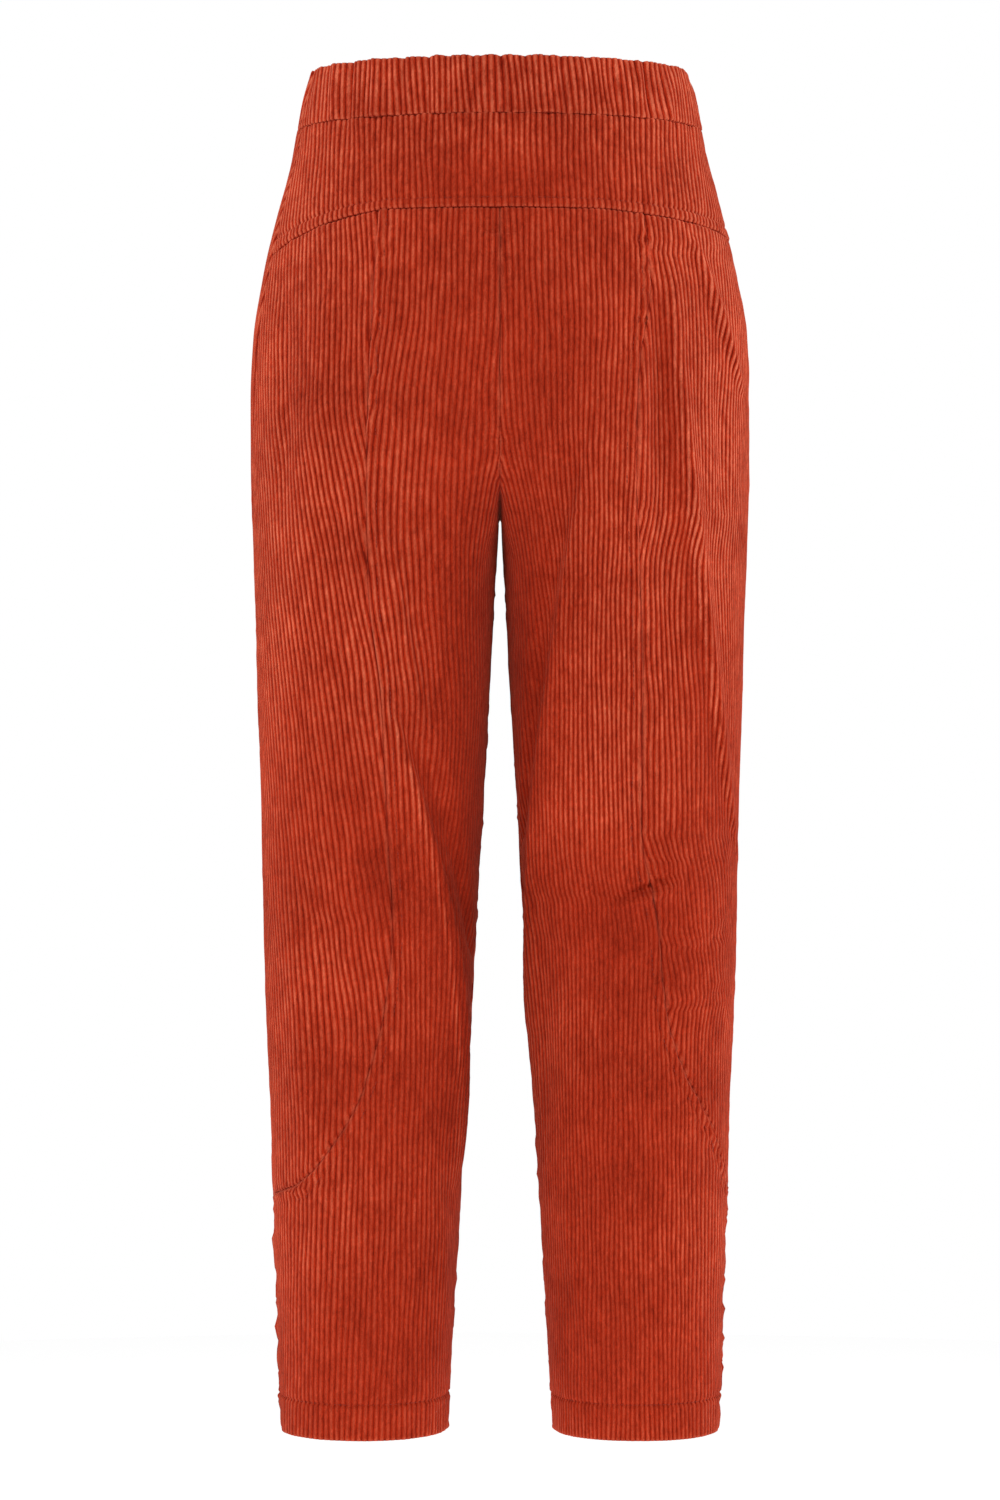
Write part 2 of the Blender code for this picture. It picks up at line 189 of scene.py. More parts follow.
# The yoke's lower edge drops towards the side seams.
YOKE_MIDDLE = -0.109
Drop = namedtuple("Drop", "most starts power")
YOKE_DROP = {"left": Drop(0.026, 0.14, 1.35), "right": Drop(0.013, 0.12, 1.2)}

# Folds and creases fade out towards their ends by these powers of a half wave, and near centre back and
# centre front. A crease is felt 40 mm up and down, and rows lie closer at the narrow ones.
FOLD_FADE = 0.7
CREASE_FADE = 0.8
CREASE_REACH = 40
NARROW_CREASE = 3
SEAM_HOLD = 0.012

# The folds. Each is a ridge (rise over zero) or trough along a curve given by its distance from the middle
# at the top, half-way down and at the bottom. Its two flanks have their own widths. All in millimetres.
FOLDS = table(
    "side face top bottom x_top x_middle x_bottom inner_width outer_width rise",
    ("left", "back", -440, -800, 84, 36.5, 31, 3.4, 26, 9.5),
    ("left", "back", -450, -770, 66, 22, 18, 9, 10, -5.0),
    ("left", "back", -290, -480, 86, 72, 52, 6, 22, 4.8),
    ("left", "back", -280, -460, 68, 60, 42, 8, 10, -2.4),
    ("left", "back", -150, -380, 116, 127, 135, 9, 16, 3.2),
    ("left", "back", -160, -290, 74, 79, 80, 6, 10, 2.2),
    ("left", "back", -240, -520, 94, 93, 84, 8, 14, 2.4),
    ("left", "back", -150, -330, 152, 150, 154, 9, 9, -2.6),
    ("left", "back", -560, -780, 130, 118, 112, 18, 18, -2.6),
    ("left", "back", -600, -820, 146, 140, 130, 12, 14, 2.6),
    ("left", "back", -760, -900, 50, 44, 40, 12, 18, 2.4),
    ("right", "back", -140, -570, 118, 137, 170, 4.5, 9, 7.5),
    ("right", "back", -145, -450, 111, 115, 122, 11, 10, -5.2),
    ("right", "back", -125, -235, 134, 154, 172, 4.5, 7, 5.6),
    ("right", "back", -115, -480, 101, 96, 98, 8, 9, 2.8),
    ("right", "back", -200, -740, 80, 34, 22, 5, 28, 9.0),
    ("right", "back", -260, -680, 58, 22, 10, 9, 11, -5.0),
    ("right", "back", -150, -270, 74, 66, 58, 8, 12, 2.4),
    ("right", "back", -215, -320, 153, 156, 157, 9, 9, -3.4),
    ("right", "back", -520, -780, 36, 32, 34, 14, 14, -2.6),
    ("right", "back", -570, -690, 92, 84, 80, 10, 14, 3.0),
    ("right", "back", -800, -930, 44, 56, 70, 9, 14, 2.4),
    ("left", "front", -470, -760, 60, 74, 92, 18, 18, -3.0),
    ("left", "front", -300, -600, 50, 66, 84, 20, 20, 2.4),
    ("left", "front", -90, -290, 66, 72, 84, 18, 18, 2.2),
    ("left", "front", -560, -700, 104, 116, 134, 9, 12, 2.6),
    ("right", "front", -440, -720, 54, 70, 96, 18, 18, -2.8),
    ("right", "front", -290, -560, 44, 62, 88, 20, 20, 2.6),
    ("right", "front", -80, -300, 70, 78, 92, 17, 17, 2.0),
    ("right", "front", -540, -680, 98, 112, 132, 9, 12, 2.4),
)

# Short creases that run across the leg, by distance from the middle and height at both ends and half-way,
# in millimetres. Each has its own width and rise.
CREASES = table(
    "side face x_start x_middle x_end z_start z_middle z_end width rise",
    ("right", "back", 80, 103, 125, -591, -583, -572, 2.4, -5.5),
    ("right", "back", 76, 103, 130, -598, -590, -578, 4.4, 4.2),
    ("right", "back", 118, 136, 158, -540, -547, -540, 5.0, 1.8),
    ("right", "back", 120, 140, 160, -556, -566, -562, 4.0, -1.8),
    ("right", "back", 114, 136, 160, -612, -617, -606, 4.5, 2.4),
    ("right", "back", 116, 136, 158, -625, -629, -618, 3.5, -2.0),
    ("right", "back", 118, 140, 160, -655, -658, -646, 4.5, 2.2),
    ("right", "back", 116, 134, 156, -667, -670, -660, 3.5, -1.8),
    ("right", "back", 34, 62, 92, -566, -580, -588, 8.0, -2.2),
    ("right", "back", 30, 60, 90, -612, -620, -622, 9.0, 2.0),
    ("left", "back", 60, 84, 110, -560, -566, -562, 8.0, 1.8),
    ("left", "back", 80, 112, 140, -600, -612, -604, 10.0, -2.2),
    ("left", "back", 6, 26, 60, -282, -272, -268, 6.0, 1.6),
    ("right", "back", 6, 28, 62, -276, -268, -262, 6.0, 1.6),
    ("left", "front", 70, 104, 140, -560, -574, -566, 9.0, -2.6),
    ("left", "front", 60, 96, 140, -600, -612, -604, 9.0, 2.4),
    ("right", "front", 70, 104, 140, -552, -566, -556, 9.0, -2.6),
    ("right", "front", 62, 98, 140, -594, -606, -596, 9.0, 2.4),
    ("left", "front", 8, 34, 70, -262, -252, -246, 7.0, -2.2),
    ("right", "front", 8, 34, 70, -258, -248, -244, 7.0, -2.2),
)

# How far the cords have drifted round the leg, away from centre back, by each level, in millimetres, at two
# lines of the cloth: the panel's inner edge under the yoke and a panel's usual width further out.
DRIFT_COLUMNS = "height inner outer"
STRAIGHT = table(DRIFT_COLUMNS, (0, 0, 0), (-974, 0, 0))
DRIFT = {
    "back_panel_left": table(
        DRIFT_COLUMNS,
        (-109, 0, 0),
        (-180, 1, 2),
        (-250, 6, 13),
        (-310, 8, 20),
        (-380, 5, 12),
        (-450, 0, 0),
        (-560, -3, -10),
        (-670, -4, -16),
        (-800, -4, -14),
        (-974, -4, -10),
    ),
    "side_panel_left": table(
        DRIFT_COLUMNS,
        (-109, 0, 0),
        (-240, -1, 0),
        (-300, -9, -6),
        (-360, -19, -15),
        (-430, -31, -27),
        (-520, -43, -40),
        (-620, -56, -52),
        (-700, -66, -60),
        (-760, -66, -64),
        (-810, -64, -66),
    ),
    "back_panel_right": table(
        DRIFT_COLUMNS,
        (-109, 0, 0),
        (-170, 2, -1),
        (-230, 5, -7),
        (-280, 8, -13),
        (-330, 12, -19),
        (-420, 12, -20),
        (-560, 10, -18),
        (-620, 14, -10),
        (-680, 17, -14),
        (-974, 17, -14),
    ),
    "side_panel_right": table(
        DRIFT_COLUMNS,
        (-109, 0, 0),
        (-150, 6, 6),
        (-200, 10, 3),
        (-260, 10, -2),
        (-400, 10, 0),
        (-540, 10, 2),
        (-585, 19, 8),
        (-620, 22, 8),
        (-655, 26, 10),
        (-690, 20, 6),
        (-740, 18, 6),
        (-810, 18, 6),
    ),
    "front_panel_left": STRAIGHT,
    "front_panel_right": STRAIGHT,
    "yoke_back": table(DRIFT_COLUMNS, (0, 0, 0), (-60, 0, 0), (-140, 0, 5)),
    "waistband_back": table(DRIFT_COLUMNS, (0, 0, 0), (-40, -3, 9)),
    "waistband_front": STRAIGHT,
}

# Where the pile lies flatter behind and the colour gets painted shade, most between the legs, at the backs of
# the knees and on the thighs, or stands up and gets a painted highlight, on the band, the hips and the outer
# sides, where the amount is below zero.
# By side, distance from the middle, height, half width and half length, in millimetres.
NAP_AND_PAINTED_LIGHT = table(
    "side across height wide tall amount",
    ("left", 0, -14, 160, 30, -0.45),
    ("right", 0, -14, 160, 30, -0.5),
    ("left", 130, -14, 40, 30, -0.3),
    ("right", 130, -14, 40, 30, -0.5),
    ("left", 150, -110, 40, 50, -0.5),
    ("right", 150, -110, 40, 50, -0.5),
    ("left", 0, -92, 80, 24, 0.8),
    ("right", 0, -92, 80, 24, 0.8),
    ("left", 20, -215, 78, 110, 0.75),
    ("right", 20, -210, 78, 100, 0.75),
    ("left", 30, -430, 26, 130, 0.95),
    ("left", 20, -610, 26, 110, 1.3),
    ("left", 62, -600, 32, 60, 0.7),
    ("left", 92, -560, 26, 70, 0.8),
    ("left", 148, -520, 40, 120, 0.55),
    ("right", 148, -500, 36, 110, 0.5),
    ("left", 80, -730, 60, 60, 0.9),
    ("left", 60, -860, 60, 110, 0.5),
    ("left", 100, -930, 90, 80, 0.8),
    ("right", 100, -930, 90, 80, 0.8),
    ("right", 20, -430, 24, 140, 1.1),
    ("right", 74, -610, 48, 66, 1.1),
    ("right", 130, -640, 40, 90, 0.5),
    ("right", 90, -760, 60, 70, 0.85),
    ("right", 60, -860, 50, 110, 0.45),
    ("left", 165, -330, 24, 180, -0.45),
    ("right", 158, -260, 34, 170, -0.8),
)

# A fold narrower than this is sharp: its crest gets a painted highlight and a strip beside it painted shade,
# in full at the full rise. By amount and width for the crest, and amount, distance and width for the strip,
# in millimetres.
SHARP_WIDTH = 5
FULL_RISE = 9
CREST_HIGHLIGHT = (1.3, 2.4)
STRIP_SHADE = (0.9, 7, 5)


def nap_and_painted_light_at(points):
    """How flat the pile lies at points of the surface, with the colour's painted shade; below zero, raised
    pile and painted highlight.
    """
    x, y, z = points[..., 0] / MM, points[..., 1], points[..., 2] / MM
    total = np.zeros(x.shape)
    for row in NAP_AND_PAINTED_LIGHT:
        sign = SIGN[row.side]
        here = (x * sign >= 0) * (y < 0)
        across = (x * sign - row.across) / row.wide
        total = total + here * row.amount * np.exp(-(across**2) - ((z - row.height) / row.tall) ** 2)
    # Sharp folds behind: a painted highlight along the crest, painted shade in a strip beside it.
    for fold in FOLDS:
        if fold.face != "back" or fold.inner_width >= SHARP_WIDTH:
            continue
        sign = SIGN[fold.side]
        down = np.clip((fold.top - z) / (fold.top - fold.bottom), 0, 1)
        strength = (x * sign >= 0) * (y < 0) * np.sin(math.pi * down) ** FOLD_FADE * fold.rise / FULL_RISE
        beyond = x * sign - bow(fold.x_top, fold.x_middle, fold.x_bottom, down)
        strip = STRIP_SHADE[0] * np.exp(-(((beyond + STRIP_SHADE[1]) / STRIP_SHADE[2]) ** 2))
        total = total + strength * (strip - CREST_HIGHLIGHT[0] * np.exp(-((beyond / CREST_HIGHLIGHT[1]) ** 2)))
    return np.clip(total, -1.0, 1.3)


def bow(start, middle, end, at):
    """A curve through three values, at shares of the way from the first to the last."""
    return start * (1 - at) * (1 - 2 * at) + 4 * middle * at * (1 - at) + end * at * (2 * at - 1)


def curve_through(knots, values, at):
    """A smooth curve through a table's rows that never swings past them."""
    knots = np.asarray(knots, float)
    values = np.asarray(values, float)
    step = np.diff(knots)
    slope = np.diff(values) / step
    tangent = np.zeros(len(values))
    tangent[0] = slope[0]
    tangent[-1] = slope[-1]
    for i in range(1, len(values) - 1):
        if slope[i - 1] * slope[i] > 0:
            tangent[i] = 2 * slope[i - 1] * slope[i] / (slope[i - 1] + slope[i])
    i = np.clip(np.searchsorted(knots, at, side="right") - 1, 0, len(step) - 1)
    t = np.clip((at - knots[i]) / step[i], 0, 1)
    h = step[i]
    return (
        values[i] * (1 + 2 * t) * (1 - t) ** 2
        + tangent[i] * h * t * (1 - t) ** 2
        + values[i + 1] * t * t * (3 - 2 * t)
        - tangent[i + 1] * h * t * t * (1 - t)
    )


def read(table, column, height):
    """One column of a table at a height in metres, or at many, in the table's own units."""
    down = [-row.height for row in table]
    values = [getattr(row, column) for row in table]
    return curve_through(down, values, -np.asarray(height, float) / MM)


def ease(value):
    """A smooth step from 0 to 1."""
    value = np.clip(value, 0.0, 1.0)
    return value * value * (3 - 2 * value)


def seam_reach(height, turns):
    """How much of its depth the seat seam still has at this height: 1 where it turns, 0 at the crotch."""
    t = min(max((turns - height) / (turns - CROTCH), 0.0), 1.0)
    return math.sqrt(1 - t * t)


def torso_reach(angle, half_width, depth, centre):
    """Distance from the leg's centre line to the torso's half ellipse, at angles from the middle."""
    along = -np.cos(angle) / half_width
    across = np.sin(angle) / depth
    offset = centre / half_width
    a = along**2 + across**2
    b = offset * along
    return (-b + np.sqrt(b * b - a * (offset**2 - 1))) / a


def leg_reach(angle, half_width, depth, squareness):
    """Distance from the leg's centre line to its own rounded ring."""
    squareness = np.where(np.cos(angle) > 0, squareness, OUTER_SQUARENESS)
    along = np.abs(np.cos(angle)) / half_width
    across = np.abs(np.sin(angle)) / depth
    return (along**squareness + across**squareness) ** (-1 / squareness)


def plain_ring(height):
    """One half at one level with no folds: points from centre back round the side to centre front."""
    inner, outer, back, front = (read(LEVELS, name, height) * MM for name in LEVELS[0]._fields[1:])
    centre = (inner + outer) / 2
    wall = centre - inner
    share = np.linspace(0, 1, RING_STEPS + 1)
    start = math.atan2(back * seam_reach(height, SEAT_TURNS), wall)
    finish = math.atan2(front * seam_reach(height, FORK_TURNS), wall)
    angle = np.where(
        share <= 0.5,
        start + 2 * share * (math.pi - start),
        math.pi + (2 * share - 1) * (math.pi - finish),
    )
    depth = np.where(share <= 0.5, back, front)
    legs = ease((LEGS_BEGIN - height) / (LEGS_BEGIN - LEGS_COMPLETE))
    reach = (1 - legs) * torso_reach(angle, outer, depth, centre)
    squareness = read(ROUNDING, "squareness", height)
    reach += legs * leg_reach(angle, (outer - inner) / 2, depth, squareness)
    crisp = read(ROUNDING, "crispness", height)
    facing = (1 - legs) * (centre + outer) + legs * wall
    strength = 1 - (wall / facing) ** crisp
    strength *= ease((VALLEY_BEGINS - height) / (VALLEY_BEGINS - SEAT_TURNS))
    towards = np.maximum(np.cos(angle), 0) / wall
    reach = (reach**-crisp + strength * towards**crisp) ** (-1 / crisp)
    x = centre - reach * np.cos(angle)
    y = -reach * np.sin(angle)
    from_back = np.hypot(x - x[0], y - y[0])
    from_front = np.hypot(x - x[-1], y - y[-1])
    if height > CROTCH:
        x = x - x[0] * np.exp(-((from_back / DRAW_IN) ** 2))
        x = x - x[-1] * np.exp(-((from_front / DRAW_IN) ** 2))
    return share, x, y


def fold_lift(side, height, arc, x):
    """How far the folds and creases move the cloth out at one level."""
    half = len(arc) // 2 + 1
    lift = np.zeros(len(arc))
    behind = np.arange(len(arc)) < half
    for crease in CREASES:
        heights = (crease.z_start, crease.z_middle, crease.z_end)
        if crease.side != side or min(abs(height / MM - z) for z in heights) > CREASE_REACH:
            continue
        along = np.clip((x / MM - crease.x_start) / (crease.x_end - crease.x_start), 0, 1)
        facing = behind if crease.face == "back" else ~behind
        rise = crease.rise * MM * np.sin(math.pi * along) ** CREASE_FADE * facing
        lift += rise * np.exp(-(((height / MM - bow(*heights, along)) / crease.width) ** 2))
    for fold in FOLDS:
        down = (fold.top * MM - height) / ((fold.top - fold.bottom) * MM)
        if fold.side != side or not 0 < down < 1:
            continue
        across = bow(fold.x_top, fold.x_middle, fold.x_bottom, down) * MM
        if fold.face == "back":
            beyond = arc - np.interp(across, x[:half], arc[:half])
        else:
            beyond = np.interp(across, x[half - 1 :][::-1], arc[half - 1 :][::-1]) - arc
        width = np.where(beyond < 0, fold.inner_width, fold.outer_width) * MM
        lift += fold.rise * MM * math.sin(math.pi * down) ** FOLD_FADE * np.exp(-((beyond / width) ** 2))
    return lift * (1 - np.exp(-((arc / SEAM_HOLD) ** 2)) - np.exp(-(((arc[-1] - arc) / SEAM_HOLD) ** 2)))


def ring(side, height):
    """One half at one level with its folds: x and y from centre back round to centre front."""
    share, x, y = plain_ring(height)
    arc = lengths(x, y)
    lift = fold_lift(side, height, arc, x)
    return x + np.gradient(y, arc) * lift, y - np.gradient(x, arc) * lift


def lengths(x, y):
    """Length along a curve up to each of its points."""
    return np.concatenate([[0], np.cumsum(np.hypot(np.diff(x), np.diff(y)))])


class Half:
    """One side's surface, worked out at many levels. Depth is the distance down from the waist."""

    def __init__(self, side):
        self.side = side
        self.sign = SIGN[side]
        steps = [np.arange(0, OUTSEAM, 0.002), np.arange(0.250, 0.328, 0.0005), [-CROTCH, OUTSEAM]]
        self.depth = np.unique(np.round(np.concatenate(steps), 6))
        self.share = np.linspace(0, 1, RING_STEPS + 1)
        rows = [ring(side, -d) for d in self.depth]
        self.x = np.array([row[0] for row in rows])
        self.y = np.array([row[1] for row in rows])
        self.arc = np.array([lengths(*row) for row in rows])
        heights = np.repeat(-self.depth[:, None], RING_STEPS + 1, 1)
        points = np.stack([self.x * self.sign, self.y, heights], -1)
        along = np.gradient(points, axis=1)
        down = np.gradient(points, self.depth, axis=0)
        normal = np.cross(down, along) * self.sign
        normal /= np.linalg.norm(normal, axis=-1, keepdims=True) + 1e-12
        self.points = points
        self.normal = normal

    def level(self, depth):
        """Where a depth falls among the levels: the one above and the share of the way to the next."""
        depth = np.clip(depth, self.depth[0], self.depth[-1])
        above = np.clip(np.searchsorted(self.depth, depth, side="right") - 1, 0, len(self.depth) - 2)
        return above, (depth - self.depth[above]) / (self.depth[above + 1] - self.depth[above])

    def mix(self, table, depth, share):
        """A value of a table of levels and shares."""
        above, down = self.level(depth)
        place = np.clip(share, 0, 1) * RING_STEPS
        near = np.clip(place.astype(int), 0, RING_STEPS - 1)
        along = place - near
        if table.ndim == 3:
            down, along = down[..., None], along[..., None]
        upper = table[above, near] * (1 - along) + table[above, near + 1] * along
        lower = table[above + 1, near] * (1 - along) + table[above + 1, near + 1] * along
        return upper * (1 - down) + lower * down

    def arc_at(self, shares):
        """At each level, the length round from centre back to a share of the way."""
        return np.array([np.interp(share, self.share, row) for share, row in zip(shares, self.arc)])

    def column(self, values, depth):
        """A value given at every level, read at any depth."""
        return np.interp(depth, self.depth, values)

    def share_where(self, across):
        """At each level, the share of the way round at which the back lies this far from the middle."""
        half = RING_STEPS // 2 + 1
        return np.array([np.interp(a, row[:half], self.share[:half]) for a, row in zip(across, self.x)])

    def side_seam(self):
        return read(SIDE_SEAM[self.side], "share", -self.depth)

    def panel_seam(self):
        """The panel seam at every level, as a share of the way round, with its run out to the tip."""
        table = PANEL_SEAM[self.side]
        last = -table[-1].height * MM
        share = self.share_where(read(table, "across", -np.minimum(self.depth, last)) * MM)
        run_out = np.clip((self.depth - last) / (-PANEL_TIP[self.side] - last), 0, 1)
        start = np.interp(last, self.depth, share)
        end = self.side_seam() - TIP_WIDTH
        return np.where(self.depth > last, start + (end - start) * run_out, share)

    def yoke_edge(self, share):
        """Depth of the yoke's lower edge at a share of the way round."""
        drop = YOKE_DROP[self.side]
        seam = np.interp(-YOKE_MIDDLE, self.depth, self.side_seam())
        along = np.maximum(0.0, (share - drop.starts) / (seam - drop.starts))
        return -YOKE_MIDDLE + drop.most * along**drop.power


HALVES = {side: Half(side) for side in ("left", "right")}


def share_of(half, arc, depth):
    """The share of the way round at which the surface has run this far from centre back."""
    arc, depth = np.broadcast_arrays(np.asarray(arc, float), np.asarray(depth, float))
    above, down = half.level(depth.ravel())
    target = arc.ravel()
    order = np.argsort(above, kind="stable")
    levels, starts = np.unique(above[order], return_index=True)
    upper = np.empty(len(target))
    lower = np.empty(len(target))
    for level, here in zip(levels, np.split(order, starts[1:])):
        upper[here] = np.interp(target[here], half.arc[level], half.share)
        lower[here] = np.interp(target[here], half.arc[level + 1], half.share)
    return (upper * (1 - down) + lower * down).reshape(arc.shape)


def drifted(cut, cord, depth):
    """Where a cord lies at a depth, measured round from the grain line."""
    inner = read(cut.drift, "inner", -depth) * MM
    outer = read(cut.drift, "outer", -depth) * MM
    along = np.clip((cord - cut.drift_from) / cut.drift_width, 0, 1)
    return cord + inner + (outer - inner) * along


def undrifted(cut, arc, depth):
    """The cord that lies at a place."""
    inner = read(cut.drift, "inner", -depth) * MM
    outer = read(cut.drift, "outer", -depth) * MM
    along = (arc - cut.drift_from - inner) / (cut.drift_width + outer - inner)
    return arc - inner - (outer - inner) * np.clip(along, 0, 1)


def smooth_noise(seed, spacing, places):
    """Soft random bumps of about -1 to 1 along a line, one every spacing."""
    places = np.asarray(places, float) / spacing
    low = int(np.floor(places.min())) - 1
    values = np.random.default_rng(seed).uniform(-1, 1, int(np.ceil(places.max())) - low + 3)
    return curve_through(np.arange(len(values)) + low, values, places)


def patchy(seed, across_size, down_size, across, down):
    """Soft random patches of about -1 to 1 over the cloth."""
    rng = np.random.default_rng(seed)
    total = 0
    for turn in range(5):
        lean = rng.uniform(-0.6, 0.6)
        phase = rng.uniform(0, 2 * math.pi, 2)
        speed = rng.uniform(0.7, 1.5, 2)
        wave = np.sin(across / across_size * speed[0] + down / down_size * lean + phase[0])
        total = total + wave * np.sin(down / down_size * speed[1] + phase[1])
    return total / 2.2


class Cut:
    """A panel's outline on one half: its two long edges as shares at every level, its top and its bottom."""

    def __init__(self, half, low, high, top, bottom, grain, drift):
        self.half, self.top, self.bottom, self.drift = half, top, bottom, drift
        self.grain_arc = half.arc_at(grain)
        self.low_arc = half.arc_at(low) - self.grain_arc
        self.high_arc = half.arc_at(high) - self.grain_arc
        self.drift_from = float(np.interp(-YOKE_MIDDLE, half.depth, self.low_arc))
        self.drift_width = float(np.median(self.high_arc - self.low_arc))
        side_arc = half.arc[:, RING_STEPS // 2]
        self.low_slope = np.hypot(1, np.gradient(self.low_arc + self.grain_arc - side_arc, half.depth))
        self.high_slope = np.hypot(1, np.gradient(self.high_arc + self.grain_arc - side_arc, half.depth))

    def share_at(self, arc, depth):
        """The share of the way round of a place measured round from the grain line."""
        return share_of(self.half, arc + self.half.column(self.grain_arc, depth), depth)

    def edges(self, depth):
        """Where the low and high edges lie at a depth, measured round from the grain line."""
        return self.half.column(self.low_arc, depth), self.half.column(self.high_arc, depth)

    def leans(self, depth):
        """How steeply each edge crosses the rows: distances in from it are stretched by this much."""
        return self.half.column(self.low_slope, depth), self.half.column(self.high_slope, depth)

    def spot(self, arc, depth):
        """Points on the surface and the directions straight out of it."""
        share = self.share_at(arc, depth)
        points = self.half.mix(self.half.points, depth, share)
        points[..., 2] = -depth
        normal = self.half.mix(self.half.normal, depth, share)
        return points, normal / np.linalg.norm(normal, axis=-1, keepdims=True)

    def top_depth(self, arc):
        """Depth of the panel's top edge at places round from the grain line."""
        if not callable(self.top):
            return np.full(np.shape(arc), self.top)
        depth = np.full(np.shape(arc), -YOKE_MIDDLE)
        for _ in range(6):
            low, high = self.edges(depth)
            depth = self.top(self.share_at(np.clip(arc, low, high), depth))
        return depth


class Across:
    """A piece that crosses the middle: both halves, measured to the right from the middle of its side."""

    def __init__(self, face, top, bottom, drift, proud=0.0):
        self.face, self.top, self.bottom, self.drift, self.proud = face, top, bottom, drift, proud
        self.reach = {}
        for side, half in HALVES.items():
            seam = half.arc_at(half.side_seam())
            self.reach[side] = seam if face == "back" else half.arc[:, -1] - seam
        self.drift_from = -float(np.median(self.reach["left"]))
        self.drift_width = float(np.median(self.reach["left"] + self.reach["right"]))

    def edges(self, depth):
        left, right = (HALVES[side].column(self.reach[side], depth) for side in ("left", "right"))
        return -left, right

    def leans(self, depth):
        return np.ones(np.shape(depth)), np.ones(np.shape(depth))

    def spot(self, arc, depth):
        arc, depth = np.broadcast_arrays(np.asarray(arc, float), np.asarray(depth, float))
        points = np.empty(arc.shape + (3,))
        normal = np.empty(arc.shape + (3,))
        for side, half in HALVES.items():
            here = arc >= 0 if side == "right" else arc < 0
            if not here.any():
                continue
            away, down = np.abs(arc[here]), depth[here]
            if self.face == "front":
                away = half.column(half.arc[:, -1], down) - away
            share = share_of(half, away, down)
            points[here] = half.mix(half.points, down, share)
            normal[here] = half.mix(half.normal, down, share)
        points[..., 2] = -depth
        normal /= np.linalg.norm(normal, axis=-1, keepdims=True)
        return points + normal * self.proud, normal

    def bottom_depth(self, arc):
        """Depth of the lower edge at places across."""
        arc = np.asarray(arc, float)
        if self.bottom < -YOKE_MIDDLE:
            return np.full(np.shape(arc), self.bottom)
        depth = np.full(np.shape(arc), -YOKE_MIDDLE)
        for side, half in HALVES.items():
            here = arc >= 0 if side == "right" else arc < 0
            for _ in range(6):
                share = share_of(half, np.abs(arc[here]), depth[here])
                share = np.minimum(share, half.column(half.side_seam(), depth[here]))
                depth[here] = half.yoke_edge(share)
        return depth


# The outer strips along a long edge stand this far in from it, with the first cord beyond them. Points of
# the inside count as this far from any edge.
RAILS = (0.0, 0.0005, 0.0014)
FIRST_CORD = 0.0019
RAIL_PHASE = 0.25
INSIDE = 0.01

# How an edge is finished: the rows stitched along it, by distance in from it in metres, how deep it dips as
# a share of SEAM_PINCH, and the rise of the waves beside it in millimetres.
Edge = namedtuple("Edge", "stitched pinch pucker")
YOKE_ROW = 0.0070
PANEL_ROW = 0.0068
PLAIN_SEAM = Edge((), 1.4, 0.3)
CENTRE_SEAM = Edge((), 1.7, 1.0)
UNDER_SEAM = Edge((), 1.5, 0.35)
TOPSTITCHED = Edge((PANEL_ROW,), 1.2, 1.25)
LAPPED = Edge((YOKE_ROW,), 0.25, 0.35)
HEM_EDGE = Edge((HEM_TURN_UP,), 0.3, 0.4)
ROLLED = Edge((), 0.5, 0.1)
LAPPED_BAND = Edge((), 0.3, 0.25)

SEAM_PINCH = 0.0011
PINCH_WIDTH = 0.0010
STITCH_DIP = 0.0014
DIP_WIDTH = 0.0012
ALLOWANCE_RISE = 0.0007
ALLOWANCE_MOST = 0.012

# Where the centre-back seam is drawn up into small gathers: middle and half length in metres, and rise in
# millimetres.
DRAWN_UP = table("middle reach rise", (0.138, 0.022, 2.6), (0.275, 0.020, 2.8))
DRAWN_WIDTH = 0.013

# Beside the crotch the centre seams lie hidden and keep to the form, between these depths.
HIDDEN_FROM = 0.225
HIDDEN_TO = 0.335
HIDDEN_FADE = 0.03


def row_depths(top, bottom, dense, creased):
    """Rows from the top edge to the bottom one, closer at both edges, beside stitched rows and at creases."""
    depths = [top, top + 0.0006, top + FINE_STEP, bottom - FINE_STEP, bottom - 0.0006, bottom]
    for place in dense:
        depths += [place - FINE_STEP, place, place + FINE_STEP]
    for start, end in creased:
        fine = np.arange(start, end, FINE_STEP)
        depths += [place for place in fine if min(abs(place - d) for d in depths) > 0.0010]
    regular = np.linspace(top + FINE_STEP, bottom - FINE_STEP, max(2, round((bottom - top) / ROW_STEP)))
    for depth in regular[1:-1]:
        if min(abs(depth - d) for d in depths) > 0.0012:
            depths.append(depth)
    return np.array(sorted(depths))


def near(distance, edge):
    """How far the cloth stands out or dips at a distance in from a finished edge."""
    lift = -SEAM_PINCH * edge.pinch * np.exp(-((distance / PINCH_WIDTH) ** 2))
    for row in edge.stitched:
        if row < ALLOWANCE_MOST:
            lift = lift + ALLOWANCE_RISE * ease((row - distance) / 0.002 + 0.5) * ease(distance / 0.0015)
        lift = lift - STITCH_DIP * np.exp(-(((distance - row) / DIP_WIDTH) ** 2))
    return lift


def pucker(distance, edge, along, seed):
    """The small waves that sewing draws into the cloth beside an edge."""
    middle, reach = 0.0, 0.009
    if edge.stitched:
        row = min(edge.stitched[0], 0.02)
        middle, reach = row * 0.6, row * 0.75 + 0.004
    waves = smooth_noise(seed, 0.0052, along) + 0.7 * smooth_noise(seed + 1, 0.011, along)
    return edge.pucker * MM * waves * np.exp(-(((distance - middle) / reach) ** 2))


